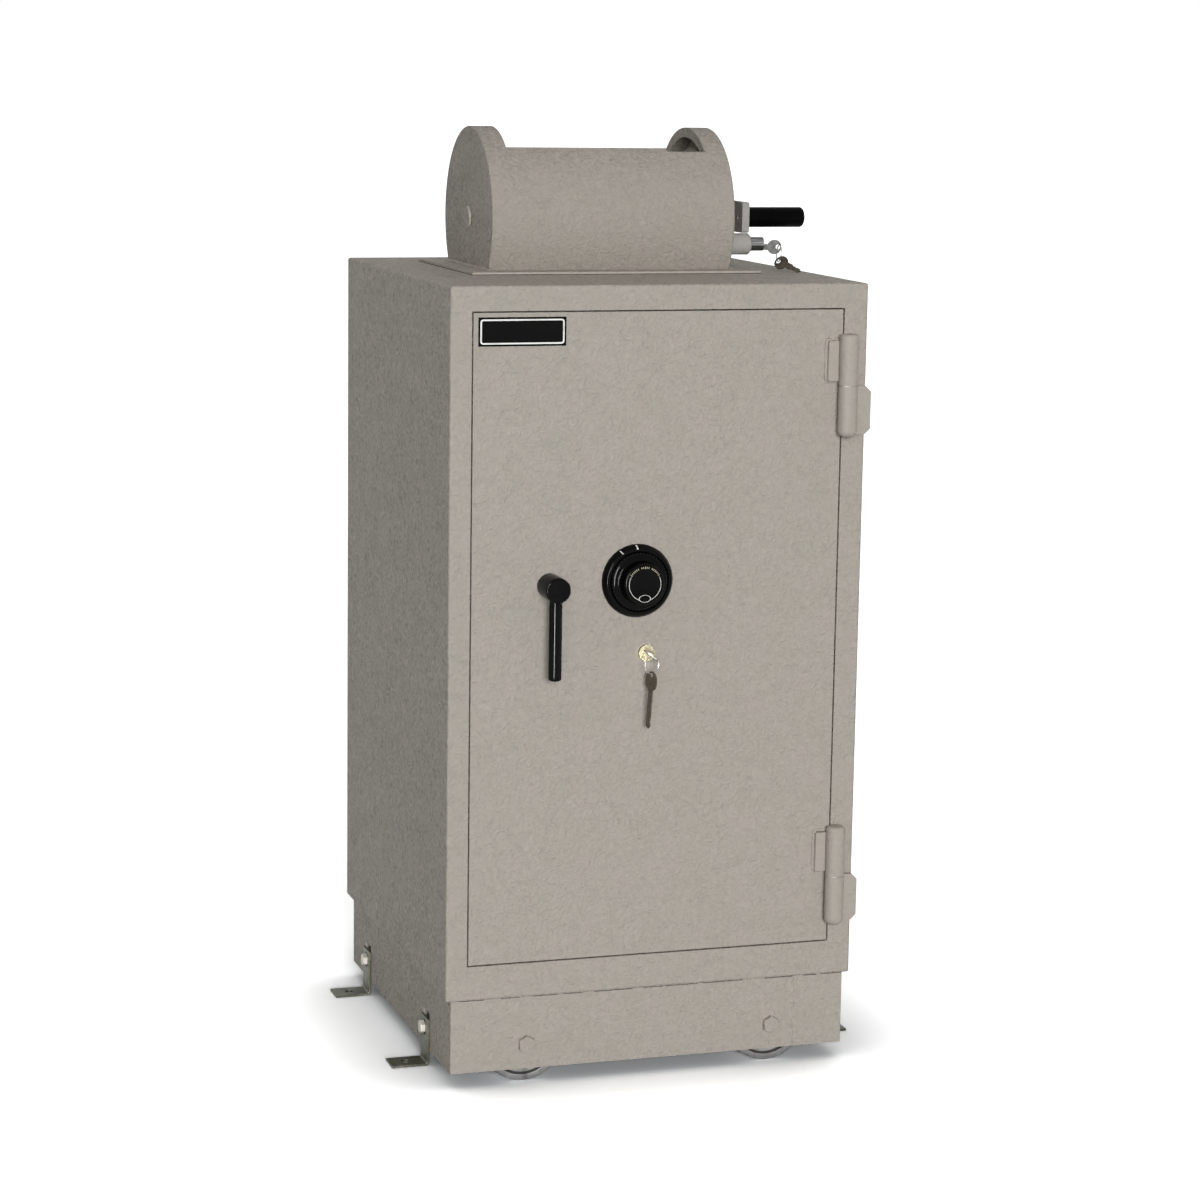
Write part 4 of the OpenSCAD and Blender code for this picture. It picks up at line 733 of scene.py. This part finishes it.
def markDial():
    v = dialValues
    r, lip, front, centre = v["ringRadius"], v["ringLip"], v["knobFront"], v["centre"]
    # a thin ring line on the cap, open over its upper third and below, where an oval outline stands
    capRing, oval = inkRing(v["capLine"], 120), inkRing(v["oval"], 64)
    drop = []
    for face in capRing.faces:
        spot = face.calc_center_median()
        turn = abs(math.degrees(math.atan2(spot.x, spot.y)))
        if not v["capLineSpan"][0] <= turn <= v["capLineSpan"][1]:
            drop.append(face)
    bmesh.ops.delete(capRing, geom=drop, context="FACES")
    bmesh.ops.scale(oval, vec=(1.0, v["ovalSquash"], 1.0), verts=oval.verts)
    moved(oval, (0, -v["ovalDown"], 0))
    lines = joined([moved(made, (0, 0, front)) for made in (capRing, oval)])
    finishPiece(aimed(lines, centre, "front"), "dialLines", "dial", finish=markWhite, normals=False)

    strokes = []
    for i in range(v["strokes"]):  # plain strokes on the cap, in three groups
        if i in v["strokesLeftOut"]:
            continue
        stroke = bar(v["strokeWidth"], v["strokeLengths"][1 if i % 3 else 0], v["inkHeight"])
        angle = -v["strokeSpan"] / 2 + i * v["strokeSpan"] / (v["strokes"] - 1)
        strokes.append(rotated(moved(stroke, (0, v["strokeRadius"], front - v["strokeSink"])), math.radians(angle)))
    finishPiece(aimed(joined(strokes), centre, "front"), "dialStrokes", "dial", finish=markCream, normals=False)

    marks = []
    seat = Matrix.Translation((0, *v["graduationSeat"])) @ Matrix.Rotation(math.radians(v["graduationTilt"]), 4, "X")
    for i in range(v["graduations"]):  # faint graduations on the plate's steep edge
        stroke = bar(v["graduationWidth"], v["graduationLengths"][1 if i % 5 else 0], v["graduationInk"])
        bmesh.ops.transform(stroke, matrix=seat, verts=stroke.verts)
        marks.append(rotated(stroke, -math.tau * i / v["graduations"]))
    finishPiece(aimed(joined(marks), centre, "front"), "dialGraduations", "dial", finish=markGrey, normals=False)

    index = []
    slope = [(0.0, lip), (0.0466, lip), (0.0474, lip - 0.0013), (r - 0.0007, 0.0050), (r, 0.0040)]
    for turn, low, high, width in v["indexMarks"]:
        stroke = moved(bar(width, high - low, v["indexInk"]), (0, (low + high) / 2, 0))
        bmesh.ops.subdivide_edges(stroke, edges=stroke.edges[:], cuts=7, use_grid_fill=True)
        for vert in stroke.verts:  # the stroke follows the ring's sloping outside
            away = math.hypot(vert.co.x, vert.co.y)
            for (inA, upA), (inB, upB) in zip(slope, slope[1:]):
                if inA <= away <= inB:
                    vert.co.z += upA + (upB - upA) * (away - inA) / (inB - inA)
                    break
        index.append(rotated(stroke, math.radians(turn)))
    finishPiece(aimed(joined(index), centre, "front"), "dialIndex", "door", finish=markWhite)


buildDialRing()
buildDialKnob()
markDial()
print("dial built")


# Door lever

leverValues = {
    "hubRadius": 0.0175,
    "hubLength": 0.046,
    "spindleRadius": 0.008,
    "radius": 0.009,
    "length": 0.126,
    "out": 0.032,
}


def buildLever():
    v = leverValues
    low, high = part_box("handle_hub")
    x = (low.x + high.x) / 2
    z = (low.z + high.z) / 2
    behind = high.y - frontFace
    h, r = v["hubLength"], v["hubRadius"]
    hub = turnedMesh(
        [(0, h - 0.0004), (r - 0.0034, h - 0.0004)]
        + roundedCorner((r - 0.0028, h), (r, h), (r, h - 0.0026))
        + [(r, 0.0016)] + roundedCorner((r, 0.0012), (r, 0.0003), (r - 0.0009, 0.0003))
        + [(v["spindleRadius"], 0.0003), (v["spindleRadius"], -behind), (0, -behind)], steps=96)
    piece = finishPiece(aimed(hub, (x, frontFace, z), "front"), "leverHub", "handle", "black_enamel")
    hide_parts("handle_hub")
    r, end = v["radius"], v["length"]
    lever = turnedMesh(
        [(0, 0.006), (r * 0.94, 0.006), (r * 0.94, 0.0205)]
        + roundedCorner((r * 0.94, 0.0205), (r, 0.0210), (r, 0.0230))
        + [(r, end - 0.0040)] + roundedCorner((r, end - 0.0030), (r, end), (r - 0.0036, end), 6)
        + [(0, end)], steps=64)
    piece = finishPiece(aimed(lever, (x, frontFace - v["out"], z), "down"), "leverBar", "handle", "black_enamel")
    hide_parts("handle_lever")


buildLever()
print("lever built")


# Bare nameplate with its border

plateValues = {"corner": 0.0008, "edge": 0.00035, "borderInset": 0.0026, "borderWidth": 0.0022,
               "borderCorner": 0.0042, "borderHeight": 0.00012}


def buildNameplate():
    v = plateValues
    low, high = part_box("nameplate")
    size = high - low
    centre = ((low.x + high.x) / 2, high.y, (low.z + high.z) / 2)
    plate = thickened(roundedSheet(size.x, size.z, v["corner"]), size.y)
    piece = finishPiece(aimed(plate, centre, "front"), "plate", "door", "black_enamel", roundEdges=v["edge"])
    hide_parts("nameplate")
    border = roundedSheet(size.x - 2 * v["borderInset"], size.z - 2 * v["borderInset"], v["borderCorner"])
    middle = border.faces[:]
    bmesh.ops.inset_region(border, faces=middle, thickness=v["borderWidth"], use_boundary=True,
                           use_even_offset=True)
    bmesh.ops.delete(border, geom=middle, context="FACES")
    thickened(border, size.y + v["borderHeight"])
    finishPiece(aimed(border, centre, "front"), "plateBorder", "door", finish=markWhite)


buildNameplate()


# Hexagon heads of the axles and bracket bolts

headValues = {
    "axleFlats": 0.022,
    "axleHead": 0.008,
    "axleRadius": 0.007,
    "axlePastWheel": 0.012,
    "axleEdge": 0.0008,
    "axleCrown": 0.16,
    "boltFlats": 0.017,
    "boltHead": 0.0065,
    "boltRadius": 0.005,
    "boltInPlinth": 0.011,
    "boltEdge": 0.0004,
    "boltCrown": 0.3,
    "cornersOverFlats": 1.1547,
}

fourCorners = [(sx, sy) for sx in (-1, 1) for sy in (-1, 1)]  # the signs of x and y


def buildHeads():
    v = headValues
    low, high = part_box("axle_bolts")
    plinthLow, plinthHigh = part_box("plinth")
    x = high.x - v["axleFlats"] / math.sqrt(3)
    z = (low.z + high.z) / 2
    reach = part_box("wheel_front_left")[1].y + v["axlePastWheel"] - plinthLow.y
    parts = []
    for sx, sy in fourCorners:
        face, way = (plinthLow.y, "front") if sy < 0 else (plinthHigh.y, "back")
        bolt = joined([hexHead(v["axleFlats"], v["axleHead"], v["axleCrown"]),
                       shank(v["axleRadius"], reach, chamfer=0.001, overlap=0.001, steps=40)])
        parts.append(aimed(bolt, (sx * x, face, z), way))
    piece = finishPiece(joined(parts), "axleHeads", "cabinet", "painted_body", roundEdges=v["axleEdge"])
    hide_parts("axle_bolts")

    low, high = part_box("bracket_bolts")
    z = (low.z + high.z) / 2
    seat = high.x - v["boltHead"]
    depth = seat - (plinthHigh.x - v["boltInPlinth"])
    half = v["boltFlats"] / 2 * v["cornersOverFlats"]
    parts = []
    for sx, sy in fourCorners:
        y = (low.y if sy < 0 else high.y) - sy * half
        bolt = joined([rotated(hexHead(v["boltFlats"], v["boltHead"], v["boltCrown"]), math.radians(30)),
                       shank(v["boltRadius"], depth, chamfer=0.0008, overlap=0.0005, steps=32)])
        parts.append(aimed(bolt, (sx * seat, y, z), "right" if sx > 0 else "left"))
    piece = finishPiece(joined(parts), "bracketBoltHeads", "cabinet", "bolt_zinc", roundEdges=v["boltEdge"])
    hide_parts("bracket_bolts")


buildHeads()
print("nameplate and bolt heads built")


# Wheels

wheelValues = {"radius": 0.058, "width": 0.040, "bore": 0.0072, "hub": 0.016, "hubOut": 0.003, "rim": 0.048,
               "dish": 0.006}


def buildWheels():
    v = wheelValues
    r, hub, rim = v["radius"], v["hub"], v["rim"]
    side = v["width"] / 2
    web = side - v["dish"]  # the sunk face between hub and rim
    end = side + v["hubOut"]
    half = [(v["bore"], end), (hub - 0.001, end)]
    half += roundedCorner((hub - 0.001, end), (hub, end), (hub, side + 0.002))
    half += roundedCorner((hub + 0.0004, web + 0.0016), (hub + 0.0008, web), (hub + 0.0026, web))
    half += roundedCorner((rim - 0.0026, web), (rim - 0.0004, web), (rim, web + 0.002))
    half += roundedCorner((rim + 0.0008, side - 0.001), (rim + 0.001, side), (rim + 0.002, side))
    half += [(r - 0.0022, side)] + roundedCorner((r - 0.0022, side), (r, side), (r, side - 0.0022))
    half += [(r, side - 0.006), (r - 0.0004, side - 0.0066), (r - 0.0004, 0.001)]
    profile = half + [(away, -out) for away, out in half[::-1]]
    for name in ("wheel_front_left", "wheel_front_right", "wheel_rear_left", "wheel_rear_right"):
        low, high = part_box(name)
        wheel = turnedMesh(profile, steps=96, closed=True)
        piece = finishPiece(aimed(wheel, (low + high) / 2, "front"), name.replace("_", "") + "Turned", name,
                            "wheel_steel")
        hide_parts(name)


buildWheels()
print("wheels built")


# Edges that paint, forming or wear have rounded

softEdges = {
    "door_plate": 0.0012,
    "plinth": 0.0014,
    "hopper_flange": 0.0006,
    "hopper_bushings": 0.0012,
    "anchor_brackets": 0.0007,
    "hinge_door_leaves": 0.0009,
    "hinge_frame_leaves": 0.0009,
    "crank_arm": 0.0016,
    "lock_boss": 0.0003,
    "plunger": 0.00035,
    "hopper_key": 0.00025,
    "hopper_spare_key": 0.00025,
    "door_key": 0.00025,
    "door_spare_key": 0.00025,
    "key_lock_body": 0.0006,
    "key_plug": 0.0003,
}

hopperEndValues = {
    "round": 0.0024,
    "beyond": 0.05,  # only edges further than this from the drum's axis
    "sharpFrom": 1.0,  # radians between the two faces of an edge
}


# a merged copy of a CAD node with its edges rounded, as paint and wear leave them
def softened(nodeName, width):
    node = nodes[nodeName]
    piece = finishPiece(cadCopy(nodeName), nodeName + "Soft", node["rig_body"], node["slotName"],
                        finish=node.material_slots[0].material, roundEdges=width, normals=False)
    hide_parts(nodeName)


# an end of the hopper rounded only round its outer face, so that no groove opens against the housing
def roundHopperEnd(nodeName, side):
    v = hopperEndValues
    low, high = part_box(nodeName)
    outer = low.x if side < 0 else high.x
    middle = (low + high) / 2
    bm = cadCopy(nodeName)
    rim = [e for e in bm.edges if all(abs(vert.co.x - outer) < 0.00002 for vert in e.verts)
           and e.calc_face_angle(0) > v["sharpFrom"] and (e.verts[0].co.yz - middle.yz).length > v["beyond"]]
    bmesh.ops.bevel(bm, geom=rim, offset=v["round"], segments=4, profile=0.5, affect="EDGES", material=-1)
    piece = finishPiece(bm, nodeName + "Soft", "cabinet", "painted_body", finish=hopperShadedFinish, normals=False)
    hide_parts(nodeName)


for nodeName, width in softEdges.items():
    softened(nodeName, width)
roundHopperEnd("hopper_end_left", -1)
roundHopperEnd("hopper_end_right", 1)
print("edges rounded on", len(softEdges) + 2, "nodes")


# Weld beads, dark gaps and painted shade lines

beadValues = {
    "leaf": 0.0024,  # the beads' radii
    "hopper": 0.0028,
    "seam": 0.0022,
    "step": 0.0035,
    "wave": (0.86, 0.1, 1.9),  # the share of the radius that stays, and the height and pace of its swell
    "ripple": 0.16,
    "endSize": 0.35,
    "hingeHalf": 0.072,
    "leafSpan": (0.006, 0.062),  # a leaf's foot and head above its hinge half's foot
    "leafRun": 0.022,
    "leafSeeds": (11, 12),
    "hopperInset": 0.012,
    "hopperOut": 0.0006,
    "hopperUp": 0.0004,
    "hopperSeeds": (31, 32),
    "seamAcross": (0.2148, 0.2168, 0.2150),
    "seamHeights": (0.024, 0.060, 0.126),
    "seamSunk": 0.0012,
    "seamSeed": 51,
}

gapAndShadeValues = {
    "seed": 61,
    "inset": (0.012, 0.03),  # where the dashes start and stop, from the plinth's left and right edge
    "length": (0.012, 0.05),  # the least, and what chance adds
    "height": (0.0009, 0.0007),
    "pause": (0.004, 0.03),  # between two dashes
    "frontDown": 0.0009,
    "frontThick": 0.0004,
    "sideInset": 0.006,
    "sideHeight": 0.0024,
    "sideDown": 0.0058,
    "sideThick": 0.0003,
    "sunk": 0.0001,  # how far the plinth's lines reach into its face
    "flangeWidth": 0.0006,
    "flangeHeight": 0.0011,
    "flangeOut": 0.0001,
}


# a weld bead: a tube along a path, its thickness rippled as the puddle leaves it
def beadAlong(points, radius, seed):
    v = beadValues
    base, swell, pace = v["wave"]
    rng = random.Random(seed)
    path = [Vector(p) for p in points]
    stations = []
    for a, b in zip(path, path[1:]):
        count = max(1, int((b - a).length / v["step"]))
        stations += [a.lerp(b, i / count) for i in range(count)]
    stations.append(path[-1])
    last = len(stations) - 1
    bm = bmesh.new()
    rings = []
    for i, spot in enumerate(stations):
        ahead = (stations[min(i + 1, last)] - stations[max(i - 1, 0)]).normalized()
        size = radius * (base + swell * math.sin(i * pace) + v["ripple"] * rng.random())
        if i in (0, last):
            size *= v["endSize"]
        made = bmesh.ops.create_circle(bm, segments=10, radius=size)
        turn = ahead.to_track_quat("Z", "Y").to_matrix().to_4x4()
        bmesh.ops.transform(bm, matrix=Matrix.Translation(spot) @ turn, verts=made["verts"])
        rings.append(made["verts"])
    for pair in zip(rings, rings[1:]):
        edges = [e for ring in pair for e in bm.edges if e.verts[0] in ring and e.verts[1] in ring]
        bmesh.ops.bridge_loops(bm, edges=edges)
    bmesh.ops.contextual_create(bm, geom=rings[0])
    bmesh.ops.contextual_create(bm, geom=rings[-1])
    return bm


def buildBeads():
    v = beadValues
    beads = []
    low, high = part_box("hinge_door_leaves")
    y = frontFace - 0.0002
    for z, seed in zip((low.z, high.z - v["hingeHalf"]), v["leafSeeds"]):
        foot, head = (z + height for height in v["leafSpan"])
        beads.append(beadAlong([(low.x + v["leafRun"], y, foot - 0.0012), (low.x + 0.002, y, foot - 0.0012),
                                (low.x - 0.0012, y, foot + 0.002), (low.x - 0.0012, y, head - 0.002),
                                (low.x + 0.002, y, head + 0.0012), (low.x + v["leafRun"], y, head + 0.0012)],
                               v["leaf"], seed))
    finishPiece(joined(beads), "hingeDoorWelds", "door", "painted_body", sharp=60)

    endLow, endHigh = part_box("hopper_end_left")
    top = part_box("hopper_flange")[1].z + v["hopperUp"]
    ends = (endLow.x - v["hopperOut"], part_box("hopper_end_right")[1].x + v["hopperOut"])
    beads = []
    for x, seed in zip(ends, v["hopperSeeds"]):
        beads.append(beadAlong([(x, endLow.y + v["hopperInset"], top), (x, endHigh.y - v["hopperInset"], top)],
                               v["hopper"], seed))
    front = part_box("plinth")[0].y + v["seamSunk"]
    seam = [(x, front, z) for x, z in zip(v["seamAcross"], v["seamHeights"])]
    beads.append(beadAlong(seam, v["seam"], v["seamSeed"]))
    finishPiece(joined(beads), "cabinetWelds", "cabinet", "painted_body", sharp=60)


# dark lines: a broken one at the front where the cabinet stands on the plinth, for the gap and the shade in it; a
# painted shadow along each side under the cabinet's overhang; and a dark line round the hopper's flange
def buildGapsAndShadeLines():
    v = gapAndShadeValues
    low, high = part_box("plinth")
    rng = random.Random(v["seed"])
    dashes = []
    x = low.x + v["inset"][0]
    while x < high.x - v["inset"][1]:
        length = v["length"][0] + v["length"][1] * rng.random()
        dash = bar(length, v["height"][0] + v["height"][1] * rng.random(), v["frontThick"])
        dashes.append(aimed(dash, (x + length / 2, low.y + v["sunk"], high.z - v["frontDown"]), "front"))
        x += length + v["pause"][0] + v["pause"][1] * rng.random() ** 2
    # along the plinth's sides: a painted shadow under the cabinet's overhang
    for x, way in ((low.x + v["sunk"], "left"), (high.x - v["sunk"], "right")):
        line = rotated(bar(high.y - low.y - v["sideInset"], v["sideHeight"], v["sideThick"]), math.radians(90))
        dashes.append(aimed(line, (x, (low.y + high.y) / 2, high.z - v["sideDown"]), way))
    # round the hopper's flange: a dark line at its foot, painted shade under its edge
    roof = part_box("body_shell")[1].z
    low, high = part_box("hopper_flange")
    wide, deep, midY = high.x - low.x, high.y - low.y, (low.y + high.y) / 2
    thin, out = v["flangeWidth"], v["flangeOut"]
    for sizeX, sizeY, x, y in ((thin, deep, -wide / 2 - out, midY), (wide, thin, 0, midY - deep / 2 - out),
                               (thin, deep, wide / 2 + out, midY)):
        dashes.append(moved(bar(sizeX, sizeY, v["flangeHeight"]), (x, y, roof)))
    finishPiece(joined(dashes), "darkGapsAndShadeLines", "cabinet", finish=gapAndShadeDark)


buildBeads()
buildGapsAndShadeLines()
print("weld beads laid")
